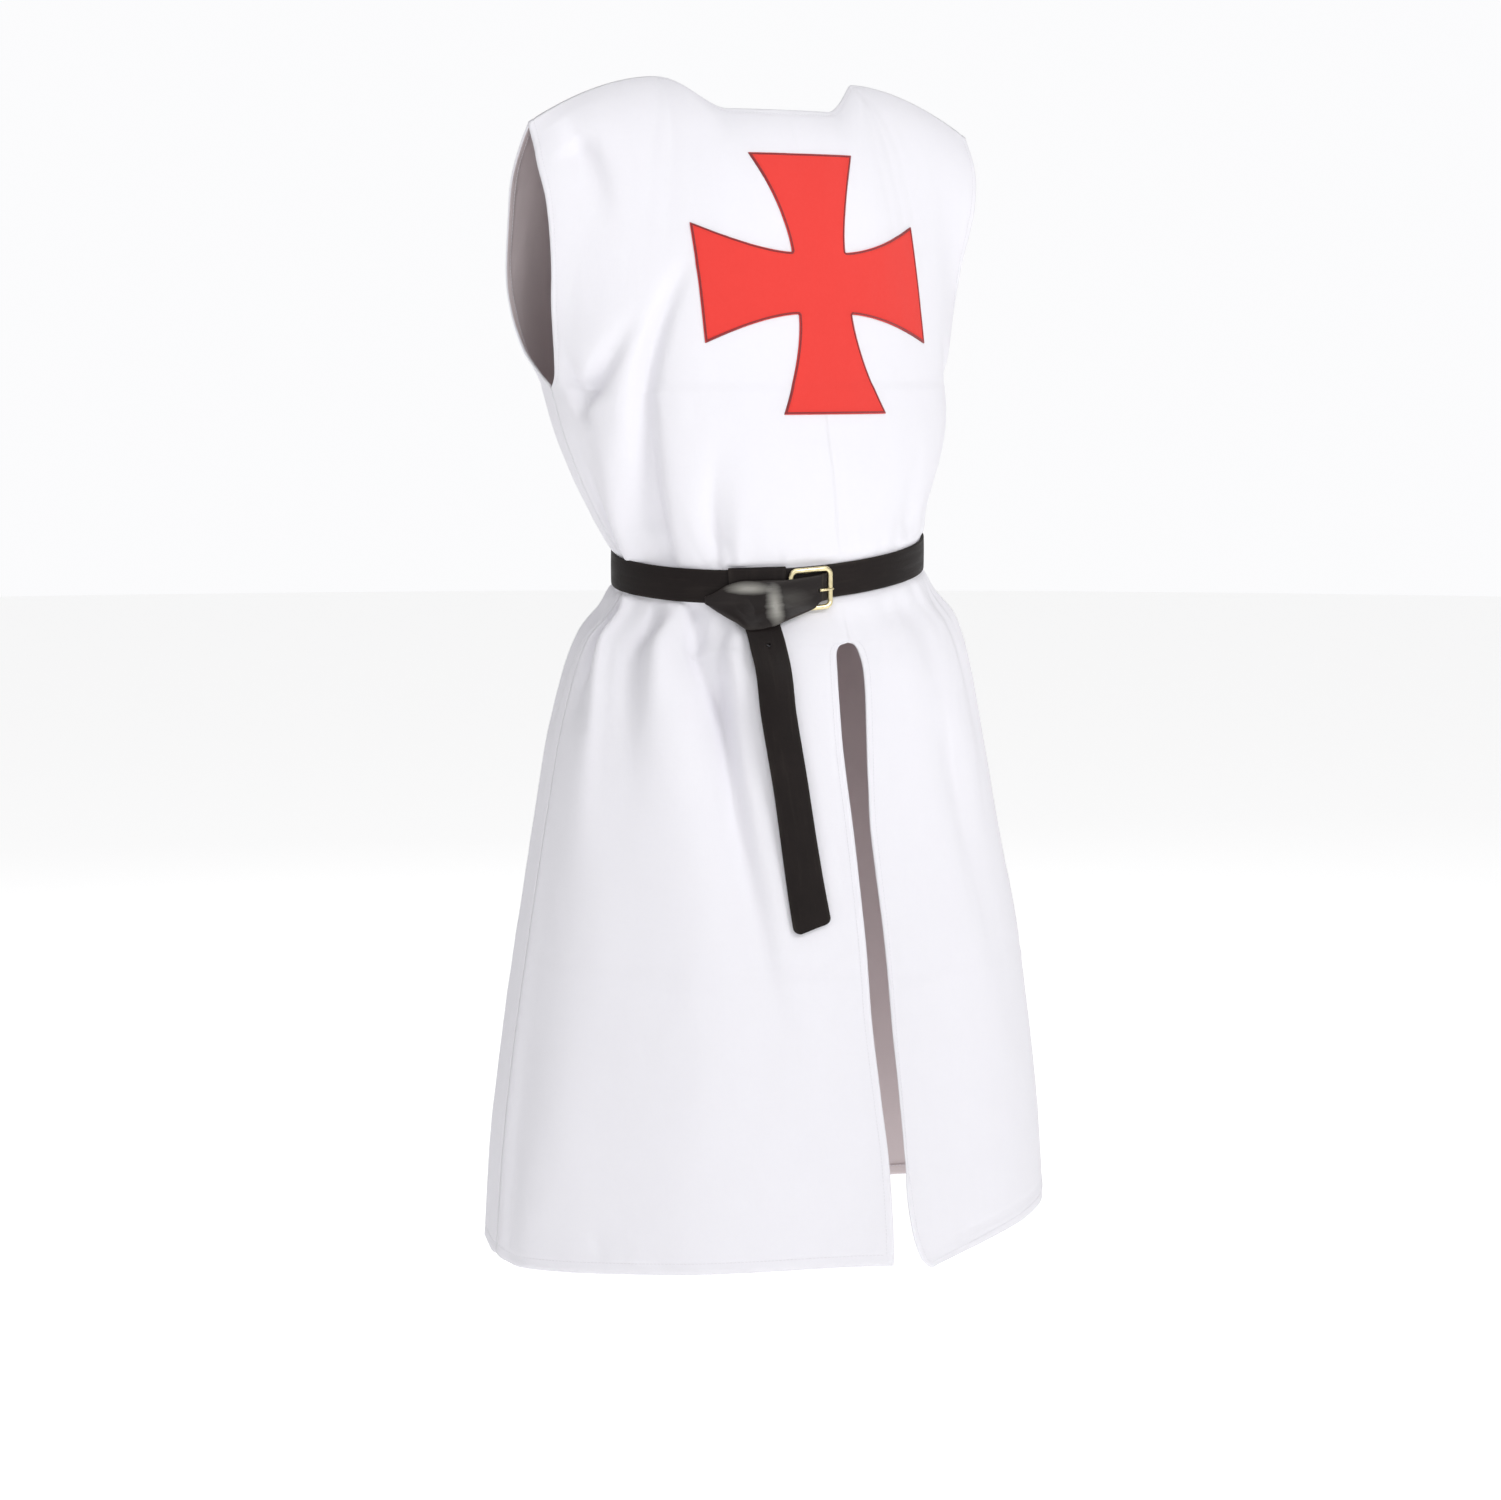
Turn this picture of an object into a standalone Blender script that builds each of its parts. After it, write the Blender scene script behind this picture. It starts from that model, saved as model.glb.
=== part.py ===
"""A knee-length medieval surcoat, belted and worn, with no wearer inside.

Metres, +Z up. The front faces -Y and the wearer's right is -X. The origin is midway between
the two neck points, where the shoulder seams meet the neckline.
"""
import math
from collections import namedtuple

import bmesh
import bpy
from mathutils import Vector

FRONT, BACK = -1, 1
TINY = 1e-6

# Heights, measured from the neck points
UNDERARM = -0.300
BELT = -0.469
SLIT_TOP = -0.5317
HEM = -1.140
TOP = 0.0

# Cloth and seams
CLOTH = 0.0018
HEM_CLOTH = 0.0030
HEM_TURN = 0.011
SEAM_GAP = 0.0003
APPLIQUE = 0.0010

# Belt
BELT_WIDTH = 0.032
LEATHER = 0.0030
BELT_BEVEL = 0.0009
BELT_FRONT_DIP = 0.0185
BELT_SIDE_TILT = 0.0140
BELT_REACH = 0.17
# The hem stands this much higher in front than behind its height, and lower on the left
HEM_FRONT_RISE = 0.011
HEM_SIDE_TILT = 0.0075

# Neck and shoulders
NECK_HALF_WIDTH = 0.113
SHOULDER_Y = 0.020
NECK_SHARE = 0.46
NECK_STEEPNESS = math.radians(38)
SHOULDER_STEEPNESS = math.radians(20)
TOP_REACH = 0.72
CHEST_REACH = 0.9
UNDERARM_STEP = 0.02
ARMHOLE_PULL = 4
SHOULDER_DROP = 0.0475
SHOULDER_HALF_WIDTH = 0.251
SHOULDER_BOW = 1.6
# A neckline is level as far as its corner, a share of its half, and then climbs to the neck point
Neckline = namedtuple("Neckline", "drop depth roundness corner")
NECKLINES = {
    FRONT: Neckline(0.031, -0.032, 2.6, 0.50),
    BACK: Neckline(0.033, 0.074, 1.6, 0.90),
}

# Cross on the chest
CROSS_SIZE = 0.258
CROSS_END = 0.117
CROSS_WAIST = 0.061
CROSS_HEIGHT = -0.200
CROSS_X = 0.002
CROSS_Y = -0.103
CHEST_SLOPE = math.radians(15)
CROSS_FLARE = 1.6
CROSS_ARC_POINTS = 6
CROSS_COLUMNS_TO = 0.64
CROSS_ROWS_TO = 0.16
CROSS_REACH = 0.16

# Steps over which the cloth's direction is measured
ACROSS_STEP = 0.01
HEIGHT_STEP = 0.003
# Halvings that find the cloth's place at a given X
HALVINGS = 24

# Grid of each panel
FRONT_COLUMNS = 32
BACK_COLUMNS = 28
UPPER_ROWS = 12
UPPER_SPREAD = 1.4

Section = namedtuple(
    "Section", "height half_width front back front_fullness back_fullness prow lean_x lean_y"
)
SECTIONS = [
    Section(-1.140, 0.316, 0.252, 0.185, 0.610, 0.74, 0.85, 0.003, -0.015),
    Section(-1.036, 0.308, 0.240, 0.180, 0.620, 0.74, 0.80, 0.003, -0.015),
    Section(-0.872, 0.284, 0.219, 0.172, 0.640, 0.73, 0.70, 0.003, -0.012),
    Section(-0.709, 0.250, 0.193, 0.158, 0.670, 0.72, 0.50, 0.000, -0.010),
    Section(-0.620, 0.231, 0.177, 0.146, 0.690, 0.72, 0.30, -0.001, -0.010),
    Section(-0.555, 0.213, 0.162, 0.134, 0.705, 0.72, 0.10, -0.001, -0.010),
    Section(-0.522, 0.200, 0.150, 0.124, 0.710, 0.715, 0.0, -0.002, -0.010),
    Section(-0.469, 0.161, 0.134, 0.104, 0.715, 0.710, 0.0, -0.005, -0.008),
    Section(-0.435, 0.177, 0.141, 0.113, 0.720, 0.715, 0.0, -0.010, -0.005),
    Section(-0.391, 0.196, 0.142, 0.122, 0.725, 0.72, 0.0, -0.012, -0.001),
    Section(-0.340, 0.211, 0.140, 0.127, 0.730, 0.725, 0.0, -0.014, 0.006),
    Section(-0.300, 0.217, 0.137, 0.128, 0.730, 0.73, 0.0, -0.016, 0.012),
]

# The armhole's edge, from the underarm seam (0) up to the shoulder's tip (1)
ArmholeRow = namedtuple("ArmholeRow", "share height half_width lean_x front_y back_y")
ARMHOLE = [
    ArmholeRow(0.00, -0.300, 0.217, -0.016, 0.012, 0.012),
    ArmholeRow(0.07, -0.289, 0.220, -0.016, 0.000, 0.029),
    ArmholeRow(0.17, -0.265, 0.226, -0.017, -0.013, 0.052),
    ArmholeRow(0.33, -0.225, 0.2295, -0.018, -0.020, 0.068),
    ArmholeRow(0.50, -0.185, 0.233, -0.016, -0.023, 0.074),
    ArmholeRow(0.70, -0.125, 0.241, -0.009, -0.016, 0.066),
    ArmholeRow(0.87, -0.080, 0.248, -0.004, 0.000, 0.042),
    ArmholeRow(1.00, -0.0475, 0.251, 0.000, 0.020, 0.020),
]

# The slit's two edges, as distances from the centre front: the slit leans to the right
SlitRow = namedtuple("SlitRow", "height right_edge left_edge")
SLIT = [
    SlitRow(-1.140, 0.0195, 0.0440),
    SlitRow(-1.129, 0.0180, 0.0260),
    SlitRow(-1.095, 0.0172, 0.0085),
    SlitRow(-1.054, 0.0174, 0.0002),
    SlitRow(-0.978, 0.0211, -0.0015),
    SlitRow(-0.894, 0.0240, -0.0034),
    SlitRow(-0.810, 0.0224, -0.0028),
    SlitRow(-0.725, 0.0212, -0.0030),
    SlitRow(-0.642, 0.0237, 0.0005),
    SlitRow(-0.590, 0.0245, 0.0046),
    SlitRow(-0.558, 0.0205, 0.0070),
    SlitRow(-0.5415, 0.0155, 0.0067),
    SlitRow(-0.536, 0.0112, 0.0052),
    SlitRow(-0.533, 0.0063, 0.0032),
    SlitRow(SLIT_TOP, 0.0, 0.0),
]

# A fold runs from its deep head to its faint tail; across is the share of the half panel,
# from -1 at the wearer's right seam to 1 at the left. A trough has a negative depth.
Fold = namedtuple("Fold", "side head_across head_height tail_across tail_height width depth")
FOLDS = [
    Fold(FRONT, -0.90, -0.490, -0.90, -0.640, 0.018, -0.0080),
    Fold(FRONT, -0.77, -0.490, -0.69, -0.700, 0.019, -0.0110),
    Fold(FRONT, -0.66, -0.490, -0.60, -0.690, 0.016, 0.0060),
    Fold(FRONT, -0.57, -0.487, -0.32, -0.690, 0.022, -0.0130),
    Fold(FRONT, -0.37, -0.550, -0.25, -0.900, 0.026, -0.0090),
    Fold(FRONT, 0.34, -0.600, 0.53, -0.980, 0.022, -0.0050),
    Fold(FRONT, 0.32, -0.490, 0.36, -0.640, 0.018, -0.0050),
    Fold(FRONT, 0.58, -0.490, 0.62, -0.720, 0.020, -0.0070),
    Fold(FRONT, 0.83, -0.490, 0.86, -0.660, 0.018, -0.0070),
    Fold(FRONT, -0.77, -0.447, -0.37, -0.200, 0.020, -0.0110),
    Fold(FRONT, -0.475, -0.447, -0.31, -0.325, 0.013, -0.0075),
    Fold(FRONT, -0.82, -0.315, -0.53, -0.225, 0.018, -0.0080),
    Fold(FRONT, -0.80, -0.310, -0.93, -0.260, 0.014, -0.0050),
    Fold(FRONT, -0.88, -0.050, -0.66, -0.175, 0.018, -0.0050),
    Fold(FRONT, 0.38, -0.447, 0.36, -0.330, 0.016, -0.0050),
    Fold(FRONT, 0.70, -0.447, 0.64, -0.290, 0.018, -0.0070),
    Fold(FRONT, 0.82, -0.315, 0.64, -0.235, 0.018, -0.0060),
    Fold(BACK, -0.85, -0.497, -0.88, -0.660, 0.016, -0.0090),
    Fold(BACK, -0.60, -0.497, -0.64, -0.740, 0.019, -0.0120),
    Fold(BACK, -0.36, -0.497, -0.38, -0.660, 0.016, -0.0090),
    Fold(BACK, -0.12, -0.497, -0.13, -0.800, 0.021, -0.0130),
    Fold(BACK, 0.14, -0.497, 0.17, -0.670, 0.016, -0.0090),
    Fold(BACK, 0.38, -0.497, 0.42, -0.760, 0.020, -0.0120),
    Fold(BACK, 0.64, -0.497, 0.69, -0.640, 0.015, -0.0090),
    Fold(BACK, 0.86, -0.497, 0.89, -0.720, 0.018, -0.0100),
    Fold(BACK, -0.70, -0.450, -0.72, -0.320, 0.016, -0.0080),
    Fold(BACK, -0.42, -0.450, -0.36, -0.240, 0.018, -0.0100),
    Fold(BACK, -0.05, -0.450, -0.02, -0.340, 0.015, -0.0075),
    Fold(BACK, 0.26, -0.450, 0.22, -0.300, 0.016, -0.0090),
    Fold(BACK, 0.58, -0.450, 0.56, -0.270, 0.018, -0.0090),
]
FOLD_HEAD = 0.15
FLAT_AT_SEAM = 0.06

# Soft flutes of the skirt, which grow towards the hem
Flute = namedtuple("Flute", "side across width depth")
FLUTES_FROM = -0.57
FLUTES = [
    Flute(FRONT, -0.80, 0.045, -0.007),
    Flute(FRONT, -0.52, 0.050, 0.004),
    Flute(FRONT, 0.55, 0.050, 0.004),
    Flute(FRONT, 0.82, 0.045, -0.007),
    Flute(BACK, -0.70, 0.048, -0.008),
    Flute(BACK, -0.28, 0.050, 0.006),
    Flute(BACK, 0.12, 0.048, -0.008),
    Flute(BACK, 0.48, 0.050, 0.006),
    Flute(BACK, 0.80, 0.045, -0.007),
]

# Rows of both panels: each band runs up to its top in so many steps
Band = namedtuple("Band", "top steps")
BANDS = [
    Band(HEM + HEM_TURN, 1),
    Band(HEM + HEM_TURN + 0.002, 1),
    Band(-1.085, 1),
    Band(-0.725, 6),
    Band(-0.590, 3),
    Band(-0.558, 2),
    Band(-0.5415, 1),
    Band(-0.536, 1),
    Band(-0.533, 1),
    Band(SLIT_TOP, 1),
    Band(BELT - BELT_WIDTH / 2, 4),
    Band(BELT + BELT_WIDTH / 2, 2),
    Band(UNDERARM, 8),
]

# A strap laid on the front: the X and height of its two edges, the height measured from the
# belt's middle, and how far its inner face lifts off the cloth, with a bulge along its middle
StrapRow = namedtuple("StrapRow", "x_a height_a x_b height_b lift bulge")
WRAP = [
    StrapRow(-0.0195, 0.0090, -0.0195, -0.0185, 0.0036, 0.0),
    StrapRow(-0.0240, 0.0085, -0.0240, -0.0190, 0.0052, 0.0),
    StrapRow(-0.0280, 0.0080, -0.0280, -0.0200, 0.0079, 0.0),
    StrapRow(-0.0340, 0.0075, -0.0345, -0.0275, 0.0082, 0.0),
    StrapRow(-0.0450, 0.0060, -0.0470, -0.0330, 0.0086, 0.0),
    StrapRow(-0.0600, 0.0020, -0.0640, -0.0400, 0.0090, 0.001),
    StrapRow(-0.0780, -0.0010, -0.0810, -0.0465, 0.0094, 0.002),
    StrapRow(-0.0950, -0.0040, -0.0985, -0.0485, 0.0090, 0.001),
    StrapRow(-0.1080, -0.0070, -0.1085, -0.0380, 0.0078, 0.0),
    StrapRow(-0.1190, -0.0095, -0.1195, -0.0250, 0.0060, 0.0),
    StrapRow(-0.1255, -0.0120, -0.1255, -0.0175, 0.0042, 0.0),
]
STRAP_LEATHER = 0.0028
WRAP_COLUMNS = 6
TAIL_COLUMNS = 4

# The free end: over the belt's top edge, behind the wrap and down the skirt
HookRow = namedtuple("HookRow", "above_edge lift")
HOOK = [HookRow(0.0008, 0.0006), HookRow(0.0018, 0.0022), HookRow(-0.0008, 0.0040)]
HOOK_RIGHT, HOOK_LEFT = -0.109, -0.060
HOOK_STEPS = 4
TailRow = namedtuple("TailRow", "height middle width lift")
TAIL = [
    TailRow(-0.344, -0.0660, 0.0356, 0.0018),
    TailRow(-0.316, -0.0690, 0.0346, 0.0018),
    TailRow(-0.219, -0.0795, 0.0331, 0.0020),
    TailRow(-0.119, -0.0885, 0.0327, 0.0026),
    TailRow(-0.045, -0.0860, 0.0320, 0.0040),
]
TAIL_SLANT = 0.008
TAIL_STEPS = 11
TAIL_CORNER = 0.007
TAIL_CORNER_TURNS = (math.radians(45), math.radians(80))

# Buckle
FRAME_LEFT_X, FRAME_RIGHT_X = -0.0555, -0.0165
FRAME_TOP, FRAME_BOTTOM = 0.0135, -0.0240
FRAME_CORNER = 0.006
FRAME_CORNER_POINTS = 4
FRAME_WIRE = 0.0020
PRONG_WIRE = 0.0012
PRONG_HEIGHT = -0.0065
PRONG_START_X, PRONG_TIP_X = -0.0300, -0.0145
PRONG_START_LIFT = 0.0130
PRONG_TIP_SHARE = 0.7

WHITE = (0.86, 0.85, 0.88)
RED = (0.78, 0.07, 0.06)
DARK_LEATHER = (0.018, 0.014, 0.013)
BRASS = (0.72, 0.60, 0.30)
CLOTH_ROUGHNESS = 0.9
LEATHER_ROUGHNESS = 0.5
BRASS_ROUGHNESS = 0.25


def smooth(u):
    u = min(max(u, 0.0), 1.0)
    return u * u * (3 - 2 * u)


def hermite(start, start_slope, end, end_slope, u):
    return (
        (2 * u**3 - 3 * u**2 + 1) * start
        + (u**3 - 2 * u**2 + u) * start_slope
        + (3 * u**2 - 2 * u**3) * end
        + (u**3 - u**2) * end_slope
    )


def eased(table, place, column):
    """A column's value at this place of the table's first column, on a curve with no overshoot."""
    places = [row[0] for row in table]
    values = [getattr(row, column) for row in table]
    place = min(max(place, places[0]), places[-1])
    last = len(places) - 1
    k = max(i for i in range(last) if places[i] <= place)
    rises = [(values[i + 1] - values[i]) / (places[i + 1] - places[i]) for i in range(last)]

    def slope(i):
        if i in (0, last):
            return rises[min(i, last - 1)]
        if rises[i - 1] * rises[i] <= 0:
            return 0.0
        return 2 * rises[i - 1] * rises[i] / (rises[i - 1] + rises[i])

    step = places[k + 1] - places[k]
    u = (place - places[k]) / step
    return hermite(values[k], slope(k) * step, values[k + 1], slope(k + 1) * step, u)


def under_belt(height):
    """The height whose section serves here: the same one all the way behind the belt."""
    away = abs(height - BELT)
    if away >= BELT_REACH:
        return height
    half = BELT_WIDTH / 2
    stretched = max(0.0, away - half) * BELT_REACH / (BELT_REACH - half)
    return BELT + math.copysign(stretched, height - BELT)


def half_ring(side, height):
    """Half a section: its width, depth, the point between centre and side, and two arc lengths."""
    width = eased(SECTIONS, height, "half_width")
    depth = eased(SECTIONS, height, "front" if side == FRONT else "back")
    fullness = eased(SECTIONS, height, "front_fullness" if side == FRONT else "back_fullness")
    middle = (fullness * width, fullness * depth)
    inner = math.hypot(middle[0], depth - middle[1])
    outer = math.hypot(width - middle[0], middle[1])
    return width, depth, middle, inner, outer


def tilt(side, across, height):
    """How far a row stands above its height here, for the belt's slope and the hem's."""
    facing = math.cos(across * math.pi / 2)
    leftward = math.sin(across * math.pi / 2)
    belt = side * BELT_FRONT_DIP * facing + BELT_SIDE_TILT * leftward
    hem = -side * HEM_FRONT_RISE * facing - HEM_SIDE_TILT * leftward
    near_belt = smooth(1 - abs(height - BELT) / BELT_REACH)
    near_hem = smooth((BELT - BELT_REACH - height) / (BELT - BELT_REACH - HEM))
    return belt * near_belt + hem * near_hem


def body_point(side, across, height):
    """A point of the plain cloth between hem and underarm."""
    at = under_belt(height)
    width, depth, middle, inner, outer = half_ring(side, at)
    prow = eased(SECTIONS, at, "prow") * depth / width if side == FRONT else 0.0
    chord = math.hypot(width, depth)
    along = (width / chord, -depth / chord)
    q = abs(across)
    if q <= 0.5:
        pace = inner / math.hypot(1, prow)
        x = hermite(0.0, pace, middle[0], along[0] * inner, 2 * q)
        y = hermite(depth, -prow * pace, middle[1], along[1] * inner, 2 * q)
    else:
        x = hermite(middle[0], along[0] * outer, width, 0.0, 2 * q - 1)
        y = hermite(middle[1], along[1] * outer, 0.0, -outer, 2 * q - 1)
    return Vector(
        (
            math.copysign(x, across) + eased(SECTIONS, at, "lean_x"),
            side * y + eased(SECTIONS, at, "lean_y"),
            height + tilt(side, across, height),
        )
    )


def top_point(side, across):
    """A point of the shoulder seam or, nearer the centre, of the neckline."""
    q = abs(across)
    if q >= NECK_SHARE:
        out = (q - NECK_SHARE) / (1 - NECK_SHARE)
        x = NECK_HALF_WIDTH + (SHOULDER_HALF_WIDTH - NECK_HALF_WIDTH) * out
        y = SHOULDER_Y
        z = -SHOULDER_DROP * out**SHOULDER_BOW
    else:
        neck = NECKLINES[side]
        u = q / NECK_SHARE
        x = NECK_HALF_WIDTH * u
        y = neck.depth + (SHOULDER_Y - neck.depth) * u**neck.roundness
        z = -neck.drop * (1 - smooth((u - neck.corner) / (1 - neck.corner)))
    return Vector((math.copysign(x, across), y, z))


def armhole_point(side, hand, share):
    y = eased(ARMHOLE, share, "front_y" if side == FRONT else "back_y")
    x = hand * eased(ARMHOLE, share, "half_width") + eased(ARMHOLE, share, "lean_x")
    return Vector((x, y, eased(ARMHOLE, share, "height")))


def column_point(side, across, share):
    """A point of the column that rises from the underarm's row to the top edge."""
    low = body_point(side, across, UNDERARM)
    high = top_point(side, across)
    length = (high - low).length
    below = body_point(side, across, UNDERARM - UNDERARM_STEP)
    rise = (low - below) / UNDERARM_STEP
    on_shoulder = smooth(abs(across) / NECK_SHARE)
    steep = NECK_STEEPNESS + (SHOULDER_STEEPNESS - NECK_STEEPNESS) * on_shoulder
    over = Vector((0.0, -side * math.cos(steep), math.sin(steep))) * length * TOP_REACH
    return Vector(
        hermite(a, slope * length * CHEST_REACH, b, end, share)
        for a, slope, b, end in zip(low, rise, high, over)
    )


def upper_point(side, across, share):
    """A point of the plain cloth above the underarm, whose sides follow the armholes."""
    hand = 1 if across > 0 else -1
    pull = armhole_point(side, hand, share) - column_point(side, hand, share)
    return column_point(side, across, share) + pull * abs(across) ** ARMHOLE_PULL


def plain_point(side, across, height):
    if height <= UNDERARM:
        return body_point(side, across, height)
    return upper_point(side, across, (height - UNDERARM) / (TOP - UNDERARM))


def outward(side, across, height):
    """The cloth's direction outward. Both panels share it along their seams."""
    if height >= TOP and abs(across) >= NECK_SHARE:
        seam = top_point(side, 1.0) - top_point(side, NECK_SHARE)
        return Vector((math.copysign(-seam.z, across), 0.0, seam.x)).normalized()
    right = plain_point(side, max(across - ACROSS_STEP, -1.0), height)
    left = plain_point(side, min(across + ACROSS_STEP, 1.0), height)
    below = plain_point(side, across, height - HEIGHT_STEP)
    above = plain_point(side, across, min(height + HEIGHT_STEP, TOP))
    return ((left - right).cross(above - below) * -side).normalized()


def fold_depth(side, across, height):
    """How far folds and flutes move the cloth outward here."""
    _, _, _, inner, outer = half_ring(side, under_belt(min(height, UNDERARM)))
    reach = inner + outer
    total = 0.0
    for fold in FOLDS:
        along = (height - fold.head_height) / (fold.tail_height - fold.head_height)
        if fold.side != side or not 0 < along < 1:
            continue
        middle = fold.head_across + (fold.tail_across - fold.head_across) * along
        away = (across - middle) * reach / fold.width
        lasting = smooth(along / FOLD_HEAD) * (1 - smooth((along - FOLD_HEAD) / (1 - FOLD_HEAD)))
        total += fold.depth * lasting * math.exp(-away * away)
    below = (FLUTES_FROM - height) / (FLUTES_FROM - HEM)
    for flute in FLUTES:
        if flute.side == side and below > 0:
            away = (across - flute.across) * reach / flute.width
            total += flute.depth * smooth(below) * math.exp(-away * away)
    return total * smooth((1 - abs(across)) / FLAT_AT_SEAM)


def cloth(side, across, height):
    """A point of the cloth's outer face and its direction outward."""
    normal = outward(side, across, height)
    point = plain_point(side, across, height) + normal * fold_depth(side, across, height)
    on_side_seam = abs(across) == 1.0 and height <= UNDERARM
    on_shoulder_seam = abs(across) >= NECK_SHARE and height >= TOP
    if on_side_seam or on_shoulder_seam:
        point.y += side * SEAM_GAP / 2
    return point, normal


def row_heights():
    heights = [HEM]
    for band in BANDS:
        start = heights[-1]
        heights += [start + (band.top - start) * (i + 1) / band.steps for i in range(band.steps)]
    rise = TOP - UNDERARM
    heights += [
        UNDERARM + rise * ((i + 1) / UPPER_ROWS) ** UPPER_SPREAD for i in range(UPPER_ROWS)
    ]
    return heights


def column_places(columns):
    """Even places across a panel, with one on each neck point."""
    places = [2 * j / columns - 1 for j in range(columns + 1)]
    nearest = min(range(columns + 1), key=lambda j: abs(places[j] - NECK_SHARE))
    places[nearest] = NECK_SHARE
    places[columns - nearest] = -NECK_SHARE
    return places


def beside_slit(across, height, hand):
    """The place that a column takes beside the slit, on the given hand of it."""
    if height >= SLIT_TOP:
        return across
    _, _, _, inner, _ = half_ring(FRONT, height)
    edge = eased(SLIT, height, "left_edge" if hand > 0 else "right_edge") * 0.5 / inner
    return hand * (edge + (1 - edge) * abs(across))


def wall_thickness(height):
    return HEM_CLOTH if height <= HEM + HEM_TURN + TINY else CLOTH


def add_wall(mesh, outer, inner, cells):
    """Faces of a wall between two like grids, with its rim closed."""
    outside = {key: mesh.verts.new(point) for key, point in outer.items()}
    inside = {key: mesh.verts.new(point) for key, point in inner.items()}
    rims = {}
    for a, b, c, d in cells:
        for corners in ((a, b, c), (a, c, d)):
            mesh.faces.new([outside[k] for k in corners])
            mesh.faces.new([inside[k] for k in reversed(corners)])
        for edge in ((a, b), (b, c), (c, d), (d, a)):
            if edge[::-1] in rims:
                del rims[edge[::-1]]
            else:
                rims[edge] = True
    for a, b in rims:
        mesh.faces.new((outside[b], outside[a], inside[a]))
        mesh.faces.new((outside[b], inside[a], inside[b]))


def finish(name, mesh, colour, roughness):
    """An object with its own material, in the surcoat's collection."""
    data = bpy.data.meshes.new(name)
    bmesh.ops.recalc_face_normals(mesh, faces=mesh.faces)
    mesh.to_mesh(data)
    mesh.free()
    data.shade_smooth()
    obj = bpy.data.objects.new(name, data)
    PARTS.objects.link(obj)
    paint(obj, colour, roughness, 0.0)
    return obj


def paint(obj, colour, roughness, metallic):
    material = bpy.data.materials.new(obj.name)
    material.use_nodes = True
    shader = material.node_tree.nodes["Principled BSDF"]
    shader.inputs["Base Color"].default_value = (*colour, 1)
    shader.inputs["Roughness"].default_value = roughness
    shader.inputs["Metallic"].default_value = metallic
    obj.data.materials.append(material)


def make_panel(name, side, columns):
    places = column_places(columns)
    heights = row_heights()
    centre = columns // 2
    outer, inner = {}, {}

    def key_of(i, j, hand):
        slit = side == FRONT and heights[i] < SLIT_TOP - TINY and j == centre
        return (i, j, hand if slit else 0)

    for i, height in enumerate(heights):
        for j, across in enumerate(places):
            for hand in (-1, 1):
                key = key_of(i, j, hand)
                if key in outer:
                    continue
                at = across
                if side == FRONT:
                    at = beside_slit(across, height, key[2] or (1 if j > centre else -1))
                point, normal = cloth(side, at, height)
                outer[key] = point
                inner[key] = point - normal * wall_thickness(height)
    cells = []
    for i in range(len(heights) - 1):
        for j in range(columns):
            hand = 1 if j >= centre else -1
            cells.append(
                [key_of(*at, hand) for at in ((i, j), (i, j + 1), (i + 1, j + 1), (i + 1, j))]
            )
    mesh = bmesh.new()
    add_wall(mesh, outer, inner, cells)
    finish(name, mesh, WHITE, CLOTH_ROUGHNESS)


def cross_outline():
    """Corners of a cross with four arms that flare in hollow curves, clockwise from the top arm."""
    waist = CROSS_WAIST / 2
    flare = []
    for i in range(CROSS_ARC_POINTS + 1):
        u = i / CROSS_ARC_POINTS
        out = waist + (CROSS_SIZE / 2 - waist) * u
        flare.append((waist + (CROSS_END / 2 - waist) * u**CROSS_FLARE, out))
    arm = [(-x, z) for x, z in flare[1:]] + flare[::-1]
    corners = []
    for _ in range(4):
        corners += arm
        arm = [(z, -x) for x, z in arm]
    return corners


def as_mesh_object(obj):
    """The object's evaluated shape as a new mesh object with its loose caps welded."""
    graph = bpy.context.evaluated_depsgraph_get()
    data = bpy.data.meshes.new_from_object(obj.evaluated_get(graph))
    mesh = bmesh.new()
    mesh.from_mesh(data)
    bmesh.ops.remove_doubles(mesh, verts=mesh.verts, dist=0.00001)
    bmesh.ops.recalc_face_normals(mesh, faces=mesh.faces)
    mesh.to_mesh(data)
    mesh.free()
    solid = bpy.data.objects.new(obj.name + "_solid", data)
    solid.matrix_world = obj.matrix_world
    bpy.data.objects.remove(obj)
    return solid


def make_cross_cutter():
    """A straight block with the cross's outline, reaching through the chest."""
    curve = bpy.data.curves.new("cross_outline", "CURVE")
    curve.dimensions = "2D"
    curve.fill_mode = "BOTH"
    curve.extrude = CROSS_REACH / 2
    corners = cross_outline()
    spline = curve.splines.new("POLY")
    spline.points.add(len(corners) - 1)
    for point, (x, z) in zip(spline.points, corners):
        point.co = (x, z, 0, 1)
    spline.use_cyclic_u = True
    outline = bpy.data.objects.new("cross_outline", curve)
    CUTTERS.objects.link(outline)
    outline.rotation_euler = (math.pi / 2, 0, 0)
    outline.scale = (1, math.cos(CHEST_SLOPE), 1)
    outline.location = (CROSS_X, CROSS_Y, CROSS_HEIGHT)
    bpy.context.view_layer.update()
    cutter = as_mesh_object(outline)
    CUTTERS.objects.link(cutter)
    cutter.hide_render = True
    cutter.display_type = "WIRE"
    return cutter


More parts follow.
